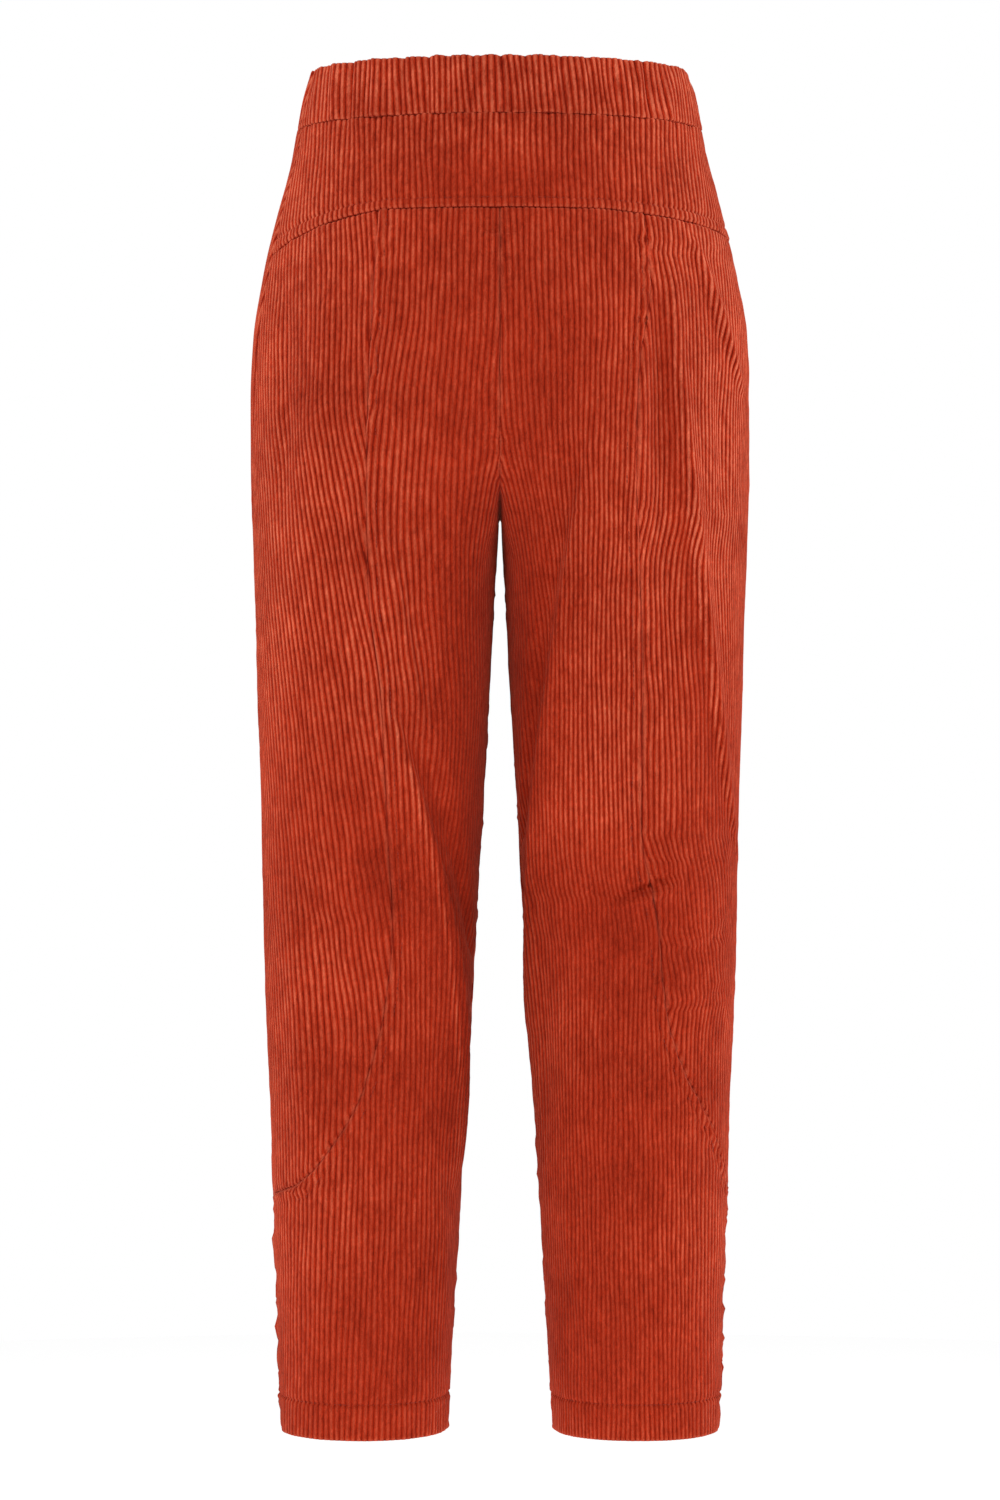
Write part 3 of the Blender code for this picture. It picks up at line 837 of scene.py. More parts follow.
def weave(a_columns, a_ids, b_columns, b_ids):
    """Faces between two rows of points, joined column by column."""
    faces = []
    i = j = 0
    while i < len(a_ids) - 1 or j < len(b_ids) - 1:
        a_next = a_columns[i + 1] if i < len(a_ids) - 1 else math.inf
        b_next = b_columns[j + 1] if j < len(b_ids) - 1 else math.inf
        if a_next == b_next:
            faces.append((a_ids[i], b_ids[j], b_ids[j + 1], a_ids[i + 1]))
            i, j = i + 1, j + 1
        elif a_next < b_next:
            faces.append((a_ids[i], b_ids[j], a_ids[i + 1]))
            i += 1
        else:
            faces.append((a_ids[i], b_ids[j], b_ids[j + 1]))
            j += 1
    return faces


def turned(faces):
    """The same faces, looking the other way."""
    return [face[::-1] for face in faces]


def new_object(name, data):
    """An object in the scene, holding a mesh, a light or a camera."""
    made = bpy.data.objects.new(name, data)
    bpy.context.scene.collection.objects.link(made)
    return made


class Shell:
    """A thin closed mesh of one piece: ridged cords outside, plain inside, and rims between."""

    def __init__(self, name, cut, node, slot, finish, seed, wall, relief=None):
        self.name, self.cut, self.node, self.slot, self.seed = name, cut, node, slot, seed
        self.finish, self.wall, self.relief = finish, wall, relief
        self.top = -YOKE_MIDDLE if callable(cut.top) else cut.top
        self.bottom = cut.bottom
        dense = [self.top + row for row in finish[2].stitched]
        dense += [self.bottom - row for row in finish[3].stitched]
        creased = []
        if node.startswith("back_panel"):
            creased = [(row.middle - row.reach, row.middle + row.reach) for row in DRAWN_UP]
        for crease in CREASES:
            if node == crease.face + "_panel_" + crease.side and crease.width < NARROW_CREASE:
                levels = (-crease.z_start, -crease.z_middle, -crease.z_end)
                creased.append(((min(levels) - 7) * MM, (max(levels) + 7) * MM))
        self.base = row_depths(self.top, self.bottom, dense, creased)
        low, high = cut.edges(self.base)
        swing = [getattr(row, column) * MM for row in cut.drift for column in ("inner", "outer")]
        first = int(math.floor((low.min() - max(swing)) / CORD_PITCH)) - 2
        last = int(math.ceil((high.max() - min(swing)) / CORD_PITCH)) + 2
        phases = np.array([k + phase for k in range(first, last) for phase in CORD_PLACES])
        self.cords = phases * CORD_PITCH
        self.phase = np.tile(CORD_PLACES, last - first)
        self.build()

    def fall(self, arc):
        """How much lower than the base rows the top and bottom edges lie at places across."""
        if hasattr(self.cut, "top_depth"):
            return self.cut.top_depth(arc) - self.top, 0 * arc
        return 0 * arc, self.cut.bottom_depth(arc) - self.bottom

    def depth_of(self, base, arc):
        """Real depth of the base rows: they follow a curved edge and settle level away from it."""
        top, bottom = self.fall(arc)
        if hasattr(self.cut, "top_depth"):
            return base + top * (1 - ease((base - self.top) / SETTLED_AFTER))
        return base + bottom * ((base - self.top) / (self.bottom - self.top)) ** 1.3

    def build(self):
        """Lays the rows of points, outside and inside, and joins them into a closed mesh."""
        cut, base = self.cut, self.base[:, None]
        column = np.broadcast_to(self.cords, (len(self.base), len(self.cords)))
        arc = drifted(cut, column, np.broadcast_to(base, column.shape))
        low, high = cut.edges(np.broadcast_to(base, column.shape))
        depth = self.depth_of(base, np.clip(arc, low, high))
        arc = drifted(cut, column, depth)
        wobble = patchy(self.seed, 0.014, 0.035, arc, depth)
        wobble = wobble + 0.8 * patchy(self.seed + 9, 0.006, 0.016, arc, depth)
        arc = arc + CORD_WOBBLE * wobble * (BAND_WOBBLE if self.slot == "waistband" else 1.0)
        low, high = cut.edges(depth)
        low_lean, high_lean = cut.leans(depth)
        inside = (arc > low + FIRST_CORD * low_lean) & (arc < high - FIRST_CORD * high_lean)
        relief, pile = self.lift(arc, depth, base, self.phase)
        points, normal = cut.spot(np.clip(arc, low, high), depth)
        nap_and_painted_light = nap_and_painted_light_at(points)
        pile = pile * (1 - np.where(nap_and_painted_light < 0, PILE_STANDS, PILE_SINKS) * nap_and_painted_light.clip(-0.9, 1))
        outer = self.own_side(points + normal * (relief + pile)[..., None])
        inner = points + normal * (relief - self.wall(depth))[..., None]
        beyond = np.minimum(arc - low, high - arc)

        verts, cords, away = [], [], []

        def add(places, on_cords, from_edge):
            start = len(verts)
            verts.extend(places)
            cords.extend(on_cords)
            away.extend(from_edge)
            return list(range(start, start + len(places)))

        rails = [self.rail(pick) for pick in (0, 1)]

        def strip(pick, r):
            outside, _, on_cords = rails[pick]
            return [add([outside[k][r]], [on_cords[k][r]], [away_by])[0] for k, away_by in enumerate(RAILS)]

        outer_rows, inner_rows = [], []
        for r in range(len(self.base)):
            active = np.nonzero(inside[r])[0]
            if len(active):
                active = np.arange(active[0], active[-1] + 1)
            from_top = np.minimum(depth[r] - self.depth_of(self.top, arc[r]), self.bottom - self.base[r])
            from_edge = np.minimum(beyond[r], from_top)
            low_ids = strip(0, r)
            body = add(list(outer[r][active]), list(self.cords[active]), list(from_edge[active]))
            high_ids = strip(1, r)
            first = active[0] if len(active) else int((arc[r] < low[r]).sum())
            columns = [first - 1] + list(active) + [(active[-1] if len(active) else first - 1) + 1]
            outer_rows.append((low_ids, columns, [low_ids[2]] + body + [high_ids[2]], high_ids))
            coarse = [i for i in active if i % len(CORD_PLACES) == 0]
            in_ids = add([rails[0][1][0][r]], [0], [INSIDE])
            in_ids += add(list(inner[r][coarse]), list(self.cords[coarse]), [INSIDE] * len(coarse))
            in_ids += add([rails[1][1][0][r]], [0], [INSIDE])
            inner_rows.append(([first - 1] + coarse + [columns[-1]], in_ids))

        faces = []
        for upper, lower in zip(outer_rows, outer_rows[1:]):
            for k in (0, 1):
                faces.append((upper[0][k], lower[0][k], lower[0][k + 1], upper[0][k + 1]))
                faces.append((upper[3][k + 1], lower[3][k + 1], lower[3][k], upper[3][k]))
            faces += weave(upper[1], upper[2], lower[1], lower[2])
        for upper, lower in zip(inner_rows, inner_rows[1:]):
            faces += turned(weave(*upper, *lower))
        smooth = len(faces)
        for r in range(len(self.base) - 1):
            a_out, b_out = outer_rows[r], outer_rows[r + 1]
            a_in, b_in = inner_rows[r][1], inner_rows[r + 1][1]
            faces.append((a_out[0][0], a_in[0], b_in[0], b_out[0][0]))
            faces.append((a_out[3][0], b_out[3][0], b_in[-1], a_in[-1]))
        for r in (0, -1):
            low_ids, columns, ids, high_ids = outer_rows[r]
            rim = low_ids[:2] + ids + high_ids[1::-1]
            places = [columns[0] - 2, columns[0] - 1] + columns + [columns[-1] + 1, columns[-1] + 2]
            in_columns, in_ids = inner_rows[r]
            joined = weave([places[0]] + in_columns[1:-1] + [places[-1]], in_ids, places, rim)
            faces += joined if r == 0 else turned(joined)
        self.finish_mesh(verts, cords, away, faces, smooth)

    def own_side(self, points):
        """A leg panel never crosses the middle."""
        if isinstance(self.cut, Cut):
            sign = self.cut.half.sign
            points[..., 0] = sign * np.maximum(points[..., 0] * sign, 0.0)
        return points

    def lift(self, arc, depth, base, phase):
        """How far the outer surface stands from the solid's form, and how high the pile stands on it."""
        low, high = self.cut.edges(depth)
        low_lean, high_lean = self.cut.leans(depth)
        height = CORD_HEIGHT * (1 + 0.16 * patchy(self.seed + 3, 0.009, 0.02, arc, depth))
        profile = np.sqrt(np.maximum(0, 1 - (2 * np.abs(phase - 0.5)) ** 2.6))
        hidden = ease((depth - HIDDEN_FROM) / HIDDEN_FADE) * (1 - ease((depth - HIDDEN_TO) / HIDDEN_FADE))
        edges = (
            ((arc - low) / low_lean, depth, 1 - hidden * self.node.startswith("back_panel")),
            ((high - arc) / high_lean, depth, 1 - hidden * self.node.startswith("front_panel")),
            (base - self.top + 0 * arc, arc, 1),
            (self.bottom - base + 0 * arc, arc, 1),
        )
        total = 0
        for (distance, _, share), finish in zip(edges, self.finish):
            total = total + share * near(distance, finish)
        for k, ((distance, along, share), finish) in enumerate(zip(edges, self.finish)):
            total = total + share * pucker(distance, finish, along, self.seed + 20 + 10 * k)
        if self.node.startswith("back_panel"):
            bumps = smooth_noise(17, 0.0058, depth + 0.35 * (arc - low))
            bumps = bumps * np.exp(-(((arc - low) / DRAWN_WIDTH) ** 2))
            for row in DRAWN_UP:
                total = total + row.rise * MM * bumps * np.exp(-(((depth - row.middle) / row.reach) ** 2))
        total = total + 0.00025 * patchy(self.seed + 5, 0.018, 0.03, arc, depth)
        if self.relief:
            total = total + self.relief(arc, depth)
        return total, height * profile

    def edge_depth(self, base, pick, rounds):
        """Depth of the base rows at the low edge (pick 0) or the high one (pick 1)."""
        depth = base.copy()
        for _ in range(rounds):
            depth = self.depth_of(base, self.cut.edges(depth)[pick])
        return depth

    def rail(self, pick):
        """The narrow strips along the low or the high edge, outside and inside, and the cords they lie on."""
        base = self.base
        depth = self.edge_depth(base, pick, 4)
        low, high = self.cut.edges(depth)
        lean = self.cut.leans(depth)[pick]
        outside, inside, cords = [], [], []
        for away in RAILS:
            reach = np.minimum(away * lean, (high - low) * 0.3 * away / RAILS[-1])
            arc = high - reach if pick else low + reach
            relief, pile = self.lift(arc, depth, base, np.full(len(base), RAIL_PHASE))
            points, normal = self.cut.spot(arc, depth)
            outside.append(self.own_side(points + normal * (relief + 0.6 * pile)[:, None]))
            inside.append(points + normal * (relief - self.wall(depth))[:, None])
            cords.append(undrifted(self.cut, arc, depth))
        if self.node.startswith(("back_panel", "front_panel")[pick]):
            # The two halves meet at the middle, down to the crotch.
            for places in (outside[0], inside[0]):
                places[:, 0] = np.where(depth < -CROTCH, 0.0, places[:, 0])
        return outside, inside, cords

    def finish_mesh(self, verts, cords, away, faces, smooth):
        """Makes the mesh, whose faces after the smooth ones are flat rims, and measures the flat piece."""
        mesh = bpy.data.meshes.new(self.name)
        mesh.from_pydata([tuple(v) for v in verts], [], faces)
        mesh.polygons.foreach_set("use_smooth", [k < smooth for k in range(len(faces))])
        # The nap field carries how the pile lies, together with the colour's painted shade and painted
        # highlight.
        for name, values in (
            ("nap_and_painted_light", nap_and_painted_light_at(np.array(verts, float))),
            ("cord", np.array(cords, float) / CORD_PITCH),
            ("edge", np.array(away, float) / MM),
        ):
            layer = mesh.attributes.new(name, "FLOAT", "POINT")
            layer.data.foreach_set("value", values.astype(np.float32))
        mesh.update()
        mesh.validate()
        solid = bmesh.new()
        solid.from_mesh(mesh)
        if solid.calc_volume(signed=True) < 0:
            bmesh.ops.reverse_faces(solid, faces=solid.faces)
            solid.to_mesh(mesh)
        solid.free()
        self.object = new_object(self.name, mesh)
        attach(self.object, "root")
        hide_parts(self.node)
        depths = np.linspace(self.top, self.bottom, 400)
        low, high = self.cut.edges(depths)
        fall = self.fall(np.linspace(low.min(), high.max(), 200))[1]
        self.flat = (float((high - low).max()), self.bottom - self.top + float(np.max(fall)))
        self.area = float(np.sum((high - low)[:-1] * np.diff(depths)))


def stitch_line(shell, edge, distance):
    """Points and outward directions along a stitched row, at a distance in from one of a shell's edges."""
    cut = shell.cut
    if edge == "high":
        base = np.arange(shell.top + 0.002, shell.bottom - 0.002, STITCH_SAMPLE)
        depth = shell.edge_depth(base, 1, 3)
        low, high = cut.edges(depth)
        lean = cut.leans(depth)[1]
        arc = high - distance * lean
        keep = high - low > 2 * distance * lean
        base, depth, arc = base[keep], depth[keep], arc[keep]
    else:
        base = shell.bottom - distance
        low, high = (float(v) for v in cut.edges(np.array(base)))
        arc = np.arange(low + 0.002, high - 0.002, STITCH_SAMPLE)
        base = np.full(len(arc), base)
        depth = shell.depth_of(base, arc)
    relief, pile = shell.lift(arc, depth, base, np.full(len(arc), RAIL_PHASE))
    points, normal = cut.spot(arc, depth)
    return points + normal * (relief + 0.45 * pile)[:, None], normal


STITCH_PITCH = 0.0033
STITCH_LENGTH = 0.0025
THREAD_RADIUS = 0.00030
STITCH_SAMPLE = 0.0004


def sew(name, lines):
    """One mesh of all the stitches along some rows: each is a short rounded length of thread."""
    sides = 6
    angles = np.linspace(0, 2 * math.pi, sides, endpoint=False)
    verts, faces = [], []
    for points, normals in lines:
        run = np.concatenate([[0], np.cumsum(np.linalg.norm(np.diff(points, axis=0), axis=1))])

        def along_row(values, place):
            return np.array([np.interp(place, run, values[:, i]) for i in range(3)])

        for start in np.arange(0.001, run[-1] - STITCH_LENGTH, STITCH_PITCH):
            first, last = along_row(points, start), along_row(points, start + STITCH_LENGTH)
            line = last - first
            length = np.linalg.norm(line)
            if length < 0.001:
                continue
            line /= length
            side = np.cross(line, along_row(normals, start + STITCH_LENGTH / 2))
            side /= np.linalg.norm(side)
            up = np.cross(side, line)
            middle = (first + last) / 2
            at = len(verts)
            for along, wide in ((-0.42, 0.75), (0.0, 1.0), (0.42, 0.75)):
                centre = middle + line * along * length + up * THREAD_RADIUS * 0.3
                for angle in angles:
                    round_it = side * math.cos(angle) + up * math.sin(angle)
                    verts.append(tuple(centre + round_it * THREAD_RADIUS * wide))
            for end in (-0.5, 0.5):
                verts.append(tuple(middle + line * length * end - up * THREAD_RADIUS))
            for k in (0, sides):
                for i in range(sides):
                    j = (i + 1) % sides
                    faces.append((at + k + i, at + k + j, at + k + sides + j, at + k + sides + i))
            for i in range(sides):
                j = (i + 1) % sides
                faces.append((at + 3 * sides, at + j, at + i))
                faces.append((at + 3 * sides + 1, at + 2 * sides + i, at + 2 * sides + j))
    mesh = bpy.data.meshes.new(name)
    mesh.from_pydata(verts, [], faces)
    mesh.shade_smooth()
    thread = new_object(name, mesh)
    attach(thread, "root")
    return thread


def even_wall(depth):
    """One layer of cloth."""
    return np.full(np.shape(depth), SHELL_WALL)


def hemmed_wall(depth):
    """The cloth is doubled where the hem turns up."""
    return SHELL_WALL + (HEM_WALL - SHELL_WALL) * ease((depth - OUTSEAM + HEM_TURN_UP) / 0.002 + 0.5)


def band_wall(depth):
    """The band is thick and rolls over at its top edge."""
    return BAND_WALL - 0.0012 * np.exp(-((depth / 0.0012) ** 2))


# Gathers of the waistband: how far across each lies at the top and at the bottom, its width and its rise,
# all in millimetres.
GATHERS = table(
    "across_top across_bottom width rise",
    (-128, -126, 3.5, 1.2),
    (-110, -112, 3.0, -1.2),
    (-92, -90, 3.5, 1.2),
    (-70, -72, 3.0, -1.1),
    (-51, -52, 2.2, -1.9),
    (-44, -44, 2.6, 1.0),
    (-36, -36, 2.2, -1.6),
    (-20, -20, 2.0, -2.0),
    (-12, -11, 2.0, -1.5),
    (-4, 0, 2.6, 1.1),
    (0, 7, 2.2, -1.9),
    (17, 20, 2.2, -1.8),
    (28, 34, 3.5, 1.3),
    (42, 48, 2.6, -1.7),
    (62, 70, 2.6, -1.5),
    (84, 92, 3.5, 1.2),
    (106, 112, 2.6, -1.5),
    (126, 130, 3.0, 1.1),
)
GATHER_GAIN = 1.4


def gathered(seed, rows):
    """Relief of the elastic band: listed gathers and a finer, uneven ruffle."""

    def relief(arc, depth):
        down = depth / BAND_HEIGHT
        total = np.zeros(np.shape(arc))
        for row in rows:
            middle = (row.across_top + (row.across_bottom - row.across_top) * down) * MM
            total = total + GATHER_GAIN * row.rise * MM * np.exp(-(((arc - middle) / (row.width * MM)) ** 2))
        ruffle = smooth_noise(seed, 0.0062, arc + 0.12 * depth) + 0.6 * smooth_noise(seed + 1, 0.0035, arc)
        waist = 0.55 + 0.45 * np.cos((down - 0.1) * math.pi)
        bumpy_rim = 0.0007 * np.exp(-((depth / 0.004) ** 2)) * smooth_noise(seed + 2, 0.0048, arc)
        return total + 0.0009 * ruffle * (0.5 + 0.5 * np.abs(waist)) + bumpy_rim

    return relief


def drawn_in(rise, reach, seed, coarse, fine):
    """Relief of the small gathers that run out of the waistband seam."""

    def relief(arc, depth):
        fade = np.exp(-(((depth - BAND_HEIGHT) / reach) ** 2))
        return rise * fade * (smooth_noise(seed, coarse, arc) + 0.5 * smooth_noise(seed + 1, fine, arc))

    return relief


# The grain lines' distance from the middle at the waist, and how much further out they lie at the hem.
GRAIN_BACK = 0.089
GRAIN_SIDE = 0.140
GRAIN_LEAN = 0.0086


def straight_grain(side, across):
    """The grain line: where the back of the leg lies this far from the middle, level by level."""
    half = HALVES[side]
    return half.share_where(np.interp(half.depth, [0, 0.974], [across, across + GRAIN_LEAN]))


def panel_cut(side, kind):
    """The outline of one leg panel."""
    half = HALVES[side]
    drift = DRIFT[kind + "_" + side]
    side_seam, panel_seam = half.side_seam(), half.panel_seam()
    tip = -PANEL_TIP[side]
    if kind == "side_panel":
        return Cut(half, panel_seam, side_seam, half.yoke_edge, tip, straight_grain(side, GRAIN_SIDE), drift)
    grain = straight_grain(side, GRAIN_BACK)
    if kind == "back_panel":
        high = np.where(half.depth < tip, panel_seam, side_seam)
        return Cut(half, np.zeros(len(high)), high, half.yoke_edge, OUTSEAM, grain, drift)
    return Cut(half, side_seam, np.ones(len(side_seam)), BAND_HEIGHT, OUTSEAM, 1 - grain, drift)


SHELLS = []
PANELS = (
    ("back_panel", (CENTRE_SEAM, TOPSTITCHED, UNDER_SEAM, HEM_EDGE), hemmed_wall, None),
    ("side_panel", (PLAIN_SEAM, PLAIN_SEAM, UNDER_SEAM, ROLLED), even_wall, None),
    (
        "front_panel",
        (PLAIN_SEAM, PLAIN_SEAM, UNDER_SEAM, HEM_EDGE),
        hemmed_wall,
        drawn_in(0.0011, 0.028, 81, 0.0085, 0.005),
    ),
)


def make_shells():
    """Makes the nine shells and gives back the five meshes of stitches."""
    for face, seed in (("back", 11), ("front", 12)):
        name = "waistband_" + face
        cut = Across(face, 0.0, BAND_HEIGHT + BAND_OVERLAP, DRIFT[name], BAND_STANDS_PROUD)
        relief = gathered(seed, GATHERS if face == "back" else [])
        finish = (PLAIN_SEAM, PLAIN_SEAM, ROLLED, LAPPED_BAND)
        SHELLS.append(Shell(name + "_cloth", cut, name, "waistband", finish, seed, band_wall, relief))
    cut = Across("back", BAND_HEIGHT, -YOKE_MIDDLE, DRIFT["yoke_back"])
    finish = (PLAIN_SEAM, PLAIN_SEAM, UNDER_SEAM, LAPPED)
    relief = drawn_in(0.0007, 0.020, 71, 0.0068, 0.004)
    SHELLS.append(Shell("yoke_cloth", cut, "yoke_back", "yoke", finish, 21, even_wall, relief))
    for side, seed in (("left", 30), ("right", 60)):
        for kind, finish, wall, relief in PANELS:
            name = kind + "_" + side
            seed += 1
            cut = panel_cut(side, kind)
            SHELLS.append(Shell(name + "_cloth", cut, name, kind + "s", finish, seed, wall, relief))
    by_node = {shell.node: shell for shell in SHELLS}
    threads = [sew("yoke_topstitching", [stitch_line(by_node["yoke_back"], "bottom", YOKE_ROW)])]
    for side in ("left", "right"):
        back, front = by_node["back_panel_" + side], by_node["front_panel_" + side]
        rows = [stitch_line(back, "high", PANEL_ROW)]
        threads.append(sew("panel_topstitching_" + side, rows))
        rows = [stitch_line(panel, "bottom", HEM_TURN_UP) for panel in (back, front)]
        threads.append(sew("hem_stitching_" + side, rows))
    return threads


class Value:
    """A socket that can be used in arithmetic. Each operation adds its Math node."""

    def __init__(self, tree, socket):
        self.tree, self.socket = tree, socket

    def math(self, operation, *others):
        node = add_node(self.tree, "ShaderNodeMath", {"operation": operation})
        for slot, value in zip(node.inputs, (self,) + others):
            feed(self.tree, slot, value)
        return Value(self.tree, node.outputs[0])

    def __add__(self, other):
        return self.math("ADD", other)

    def __sub__(self, other):
        return self.math("SUBTRACT", other)

    def __rsub__(self, other):
        return (self * -1) + other

    def __mul__(self, other):
        return self.math("MULTIPLY", other)

    def clamp(self, low=0.0, high=1.0):
        return self.math("MAXIMUM", low).math("MINIMUM", high)

    def smooth(self, low, high):
        node = add_node(self.tree, "ShaderNodeMapRange", {"interpolation_type": "SMOOTHSTEP"})
        feed(self.tree, node.inputs["Value"], self)
        node.inputs["From Min"].default_value = low
        node.inputs["From Max"].default_value = high
        return Value(self.tree, node.outputs["Result"])


def feed(tree, slot, value):
    """Links a value to a socket, or sets the socket to a number or a tuple."""
    if isinstance(value, Value):
        tree.links.new(value.socket, slot)
    else:
        slot.default_value = value


def add_node(tree, kind, settings=None, **sockets):
    """A node with its settings made first and its sockets then fed."""
    node = tree.nodes.new(kind)
    for name, value in (settings or {}).items():
        setattr(node, name, value)
    for name, value in sockets.items():
        feed(tree, node.inputs[name.replace("_", " ")], value)
    return node


def mixed(tree, factor, first, second, blend="MIX"):
    """Two colours mixed by a factor."""
    node = add_node(tree, "ShaderNodeMix", {"data_type": "RGBA", "blend_type": blend})
    feed(tree, node.inputs[0], factor)
    feed(tree, node.inputs[6], first)
    feed(tree, node.inputs[7], second)
    return Value(tree, node.outputs[2])


def noise(tree, place, scale, detail=2.0, roughness=0.5):
    """Noise between 0 and 1."""
    node = add_node(tree, "ShaderNodeTexNoise", {"noise_dimensions": "3D"}, Vector=place, Scale=scale)
    node.inputs["Detail"].default_value = detail
    node.inputs["Roughness"].default_value = roughness
    return Value(tree, node.outputs["Fac"])


def attribute(tree, name):
    """A mesh attribute's value."""
    return Value(tree, add_node(tree, "ShaderNodeAttribute", {"attribute_name": name}).outputs["Fac"])


def new_material(name):
    """A material with its node tree and its main shader."""
    material = bpy.data.materials.new(name)
    material.use_nodes = True
    return material, material.node_tree, material.node_tree.nodes["Principled BSDF"]


def linear(value):
    """A display value of 0 to 255 as an amount of light."""
    return value / 255 / 12.92 if value < 10 else ((value / 255 + 0.055) / 1.055) ** 2.4


def rgb(red, green, blue):
    """A colour given in display values of 0 to 255."""
    return (linear(red), linear(green), linear(blue), 1.0)


# Between the cords: painted shade.
PILE_GROOVE_SHADE = rgb(134, 25, 7)
PILE_SIDE = rgb(188, 47, 17)
# On the cords' backs: a painted sheen highlight, also used for the wear of rubbed edges.
PILE_TOP_SHEEN_AND_WEAR = rgb(224, 106, 74)
PILE_LAID = rgb(186, 47, 20)
# Where the pile stands up: a painted highlight on the crowns.
PILE_PALE_NAP_AND_HIGHLIGHT = rgb(226, 116, 88)
PILE_GAIN = (1.25, 1.25, 1.25, 1.0)
THREAD = rgb(184, 54, 28)
THREAD_SHADE = rgb(140, 34, 14)
WHITE = (1.0, 1.0, 1.0, 1.0)


def corduroy(name):
    """Cotton pile: painted shade deepens the colour between the cords, a painted sheen highlight lightens
    their backs.
    """
    material, tree, shader = new_material(name)
    cord, edge, nap_and_painted_light = (attribute(tree, layer) for layer in ("cord", "edge", "nap_and_painted_light"))
    place = Value(tree, add_node(tree, "ShaderNodeTexCoord").outputs["Object"])
    stretched = add_node(tree, "ShaderNodeMapping", {"vector_type": "POINT"}, Vector=place)
    stretched.inputs["Scale"].default_value = (1.0, 1.0, 0.35)
    along = Value(tree, stretched.outputs["Vector"])
    phase = cord.math("FRACT")
    crown = 1 - ((phase - 0.5).math("ABSOLUTE") * 2.0)
    fray = noise(tree, along, 640.0, 3.0, 0.72)
    tufts = noise(tree, along, 2200.0, 2.0, 0.6)
    worn = noise(tree, along, 190.0, 3.0, 0.6)
    broad = noise(tree, place, 16.0, 3.0, 0.6)
    crown = crown + (fray - 0.5) * 0.42 + (worn - 0.5) * 0.35
    flank = crown.smooth(0.0, 0.36)
    top = crown.smooth(0.34, 0.95) * ((worn - 0.5) * 1.5 + (broad - 0.5) * 0.9 + 0.62).clamp(0.05, 1.1)
    # Painted shade in the grooves between the cords.
    colour = mixed(tree, flank, PILE_GROOVE_SHADE, PILE_SIDE)
    # Painted sheen highlight on the crowns, weaker where the pile lies flat.
    colour = mixed(tree, (top * (1 - nap_and_painted_light * 0.5)).clamp(), colour, PILE_TOP_SHEEN_AND_WEAR)
    colour = mixed(tree, (nap_and_painted_light * 0.40).clamp(), colour, PILE_LAID)
    # Painted highlight on the crowns where the nap field is below zero.
    colour = mixed(tree, (nap_and_painted_light * -0.6 * top).clamp(), colour, PILE_PALE_NAP_AND_HIGHLIGHT)
    rub = (1 - edge.smooth(0.4, 2.6)) * 0.30 * crown.smooth(0.1, 0.5)
    colour = mixed(tree, rub.clamp(), colour, PILE_TOP_SHEEN_AND_WEAR)
    # Painted shade where the nap field passes 0.7, between the legs and at the backs of the knees; the noises
    # add the pile's random mottling.
    shade = 0.80 - nap_and_painted_light.clamp(-0.5, 1.3) * 0.05 - (nap_and_painted_light - 0.7).clamp() * 0.17
    shade = shade + (tufts - 0.5) * 0.7 + (broad - 0.5) * 0.5 + (fray - 0.5) * 0.75 + (worn - 0.5) * 0.34
    grey = add_node(tree, "ShaderNodeCombineColor", None, Red=shade, Green=shade, Blue=shade)
    colour = mixed(tree, 1.0, colour, Value(tree, grey.outputs[0]), "MULTIPLY")
    colour = mixed(tree, 1.0, colour, PILE_GAIN, "MULTIPLY")
    bump = add_node(tree, "ShaderNodeBump", None, Height=tufts * 0.6 + fray)
    bump.inputs["Strength"].default_value = 0.55
    bump.inputs["Distance"].default_value = 0.00035
    for socket, value in (
        ("Base Color", colour),
        ("Roughness", 0.95 - top.clamp() * 0.12),
        ("Normal", Value(tree, bump.outputs["Normal"])),
        ("Specular IOR Level", 0.12),
        ("Sheen Weight", 0.16),
        ("Sheen Roughness", 0.4),
        ("Sheen Tint", (1.0, 0.42, 0.28, 1.0)),
    ):
        feed(tree, shader.inputs[socket], value)
    return material


def cotton_thread():
    """The sewing thread: the cloth's colour, a shade lighter, with its twist."""
    material, tree, shader = new_material("cotton thread")
    place = Value(tree, add_node(tree, "ShaderNodeTexCoord").outputs["Object"])
    twist = noise(tree, place, 2600.0, 1.0, 0.5)
    feed(tree, shader.inputs["Base Color"], mixed(tree, twist, THREAD_SHADE, THREAD))
    feed(tree, shader.inputs["Roughness"], twist * 0.2 + 0.6)
    return material


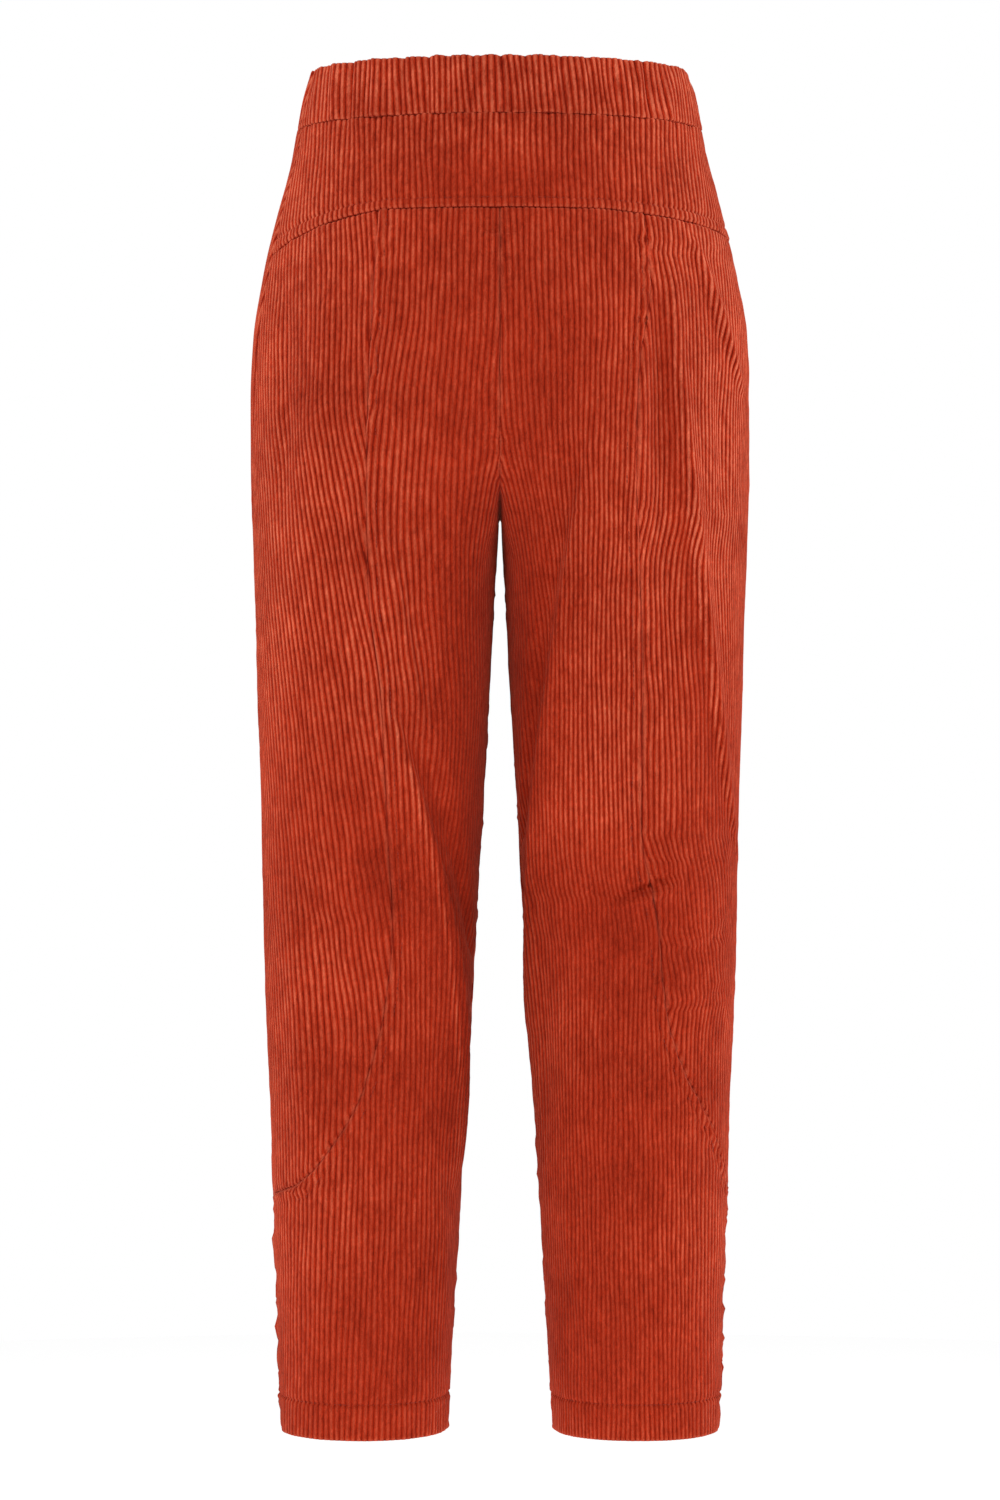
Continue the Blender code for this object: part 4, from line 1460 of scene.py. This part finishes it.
def set_studio():
    """A white room: a pale round floor, a soft box at each side, a high fill in front."""
    scene = bpy.context.scene
    scene.view_settings.view_transform = "Standard"
    world = bpy.data.worlds.new("studio")
    world.use_nodes = True
    tree = world.node_tree
    seen = Value(tree, add_node(tree, "ShaderNodeLightPath").outputs["Is Camera Ray"])
    tree.nodes["Background"].inputs["Color"].default_value = WHITE
    feed(tree, tree.nodes["Background"].inputs["Strength"], seen * 0.72 + 0.28)
    scene.world = world
    camera_data = bpy.data.cameras.new("camera")
    camera_data.lens = 106.67
    camera_data.sensor_width = 36.0
    camera = new_object("camera", camera_data)
    camera.location = (0.0, -3.2, -0.4867)
    camera.rotation_euler = (math.radians(90), 0.0, 0.0)
    scene.camera = camera
    for name, spot, size, power in (
        ("left box", (-1.9, 0.15, 0.55), (0.8, 1.6), 14.0),
        ("right box", (1.9, 0.15, 0.55), (0.8, 1.6), 15.5),
        ("high fill", (0.0, -2.4, 1.9), (2.0, 1.2), 38.0),
    ):
        light = bpy.data.lights.new(name, "AREA")
        light.shape = "RECTANGLE"
        light.size, light.size_y = size
        light.energy = power
        lamp = new_object(name, light)
        lamp.location = spot
        towards = np.array([0.0, 0.0, -0.5]) - np.array(spot)
        turn = math.atan2(-towards[0], towards[1])
        tilt = math.atan2(math.hypot(towards[0], towards[1]), -towards[2])
        lamp.rotation_euler = (tilt, 0.0, turn)
    corners = 96
    radius = 3.0
    level = -1.30
    steps = np.linspace(0, 2 * math.pi, corners, endpoint=False)
    mesh = bpy.data.meshes.new("floor")
    rim = [(radius * math.cos(step), radius * math.sin(step), level) for step in steps]
    mesh.from_pydata(rim, [], [tuple(range(corners))])
    mesh.shade_smooth()
    floor = new_object("floor", mesh)
    paper, tree, shader = new_material("paper")
    for socket, value in (
        ("Base Color", (0.86, 0.86, 0.86, 1.0)),
        ("Roughness", 0.9),
        ("Emission Color", WHITE),
        ("Emission Strength", 0.66),
    ):
        shader.inputs[socket].default_value = value
    mesh.materials.append(paper)


threads = make_shells()
cloth = corduroy("rust corduroy")
cotton = cotton_thread()
for thread in threads:
    thread.data.materials.append(cotton)
for shell in SHELLS:
    shell.object.data.materials.append(cloth)
set_studio()
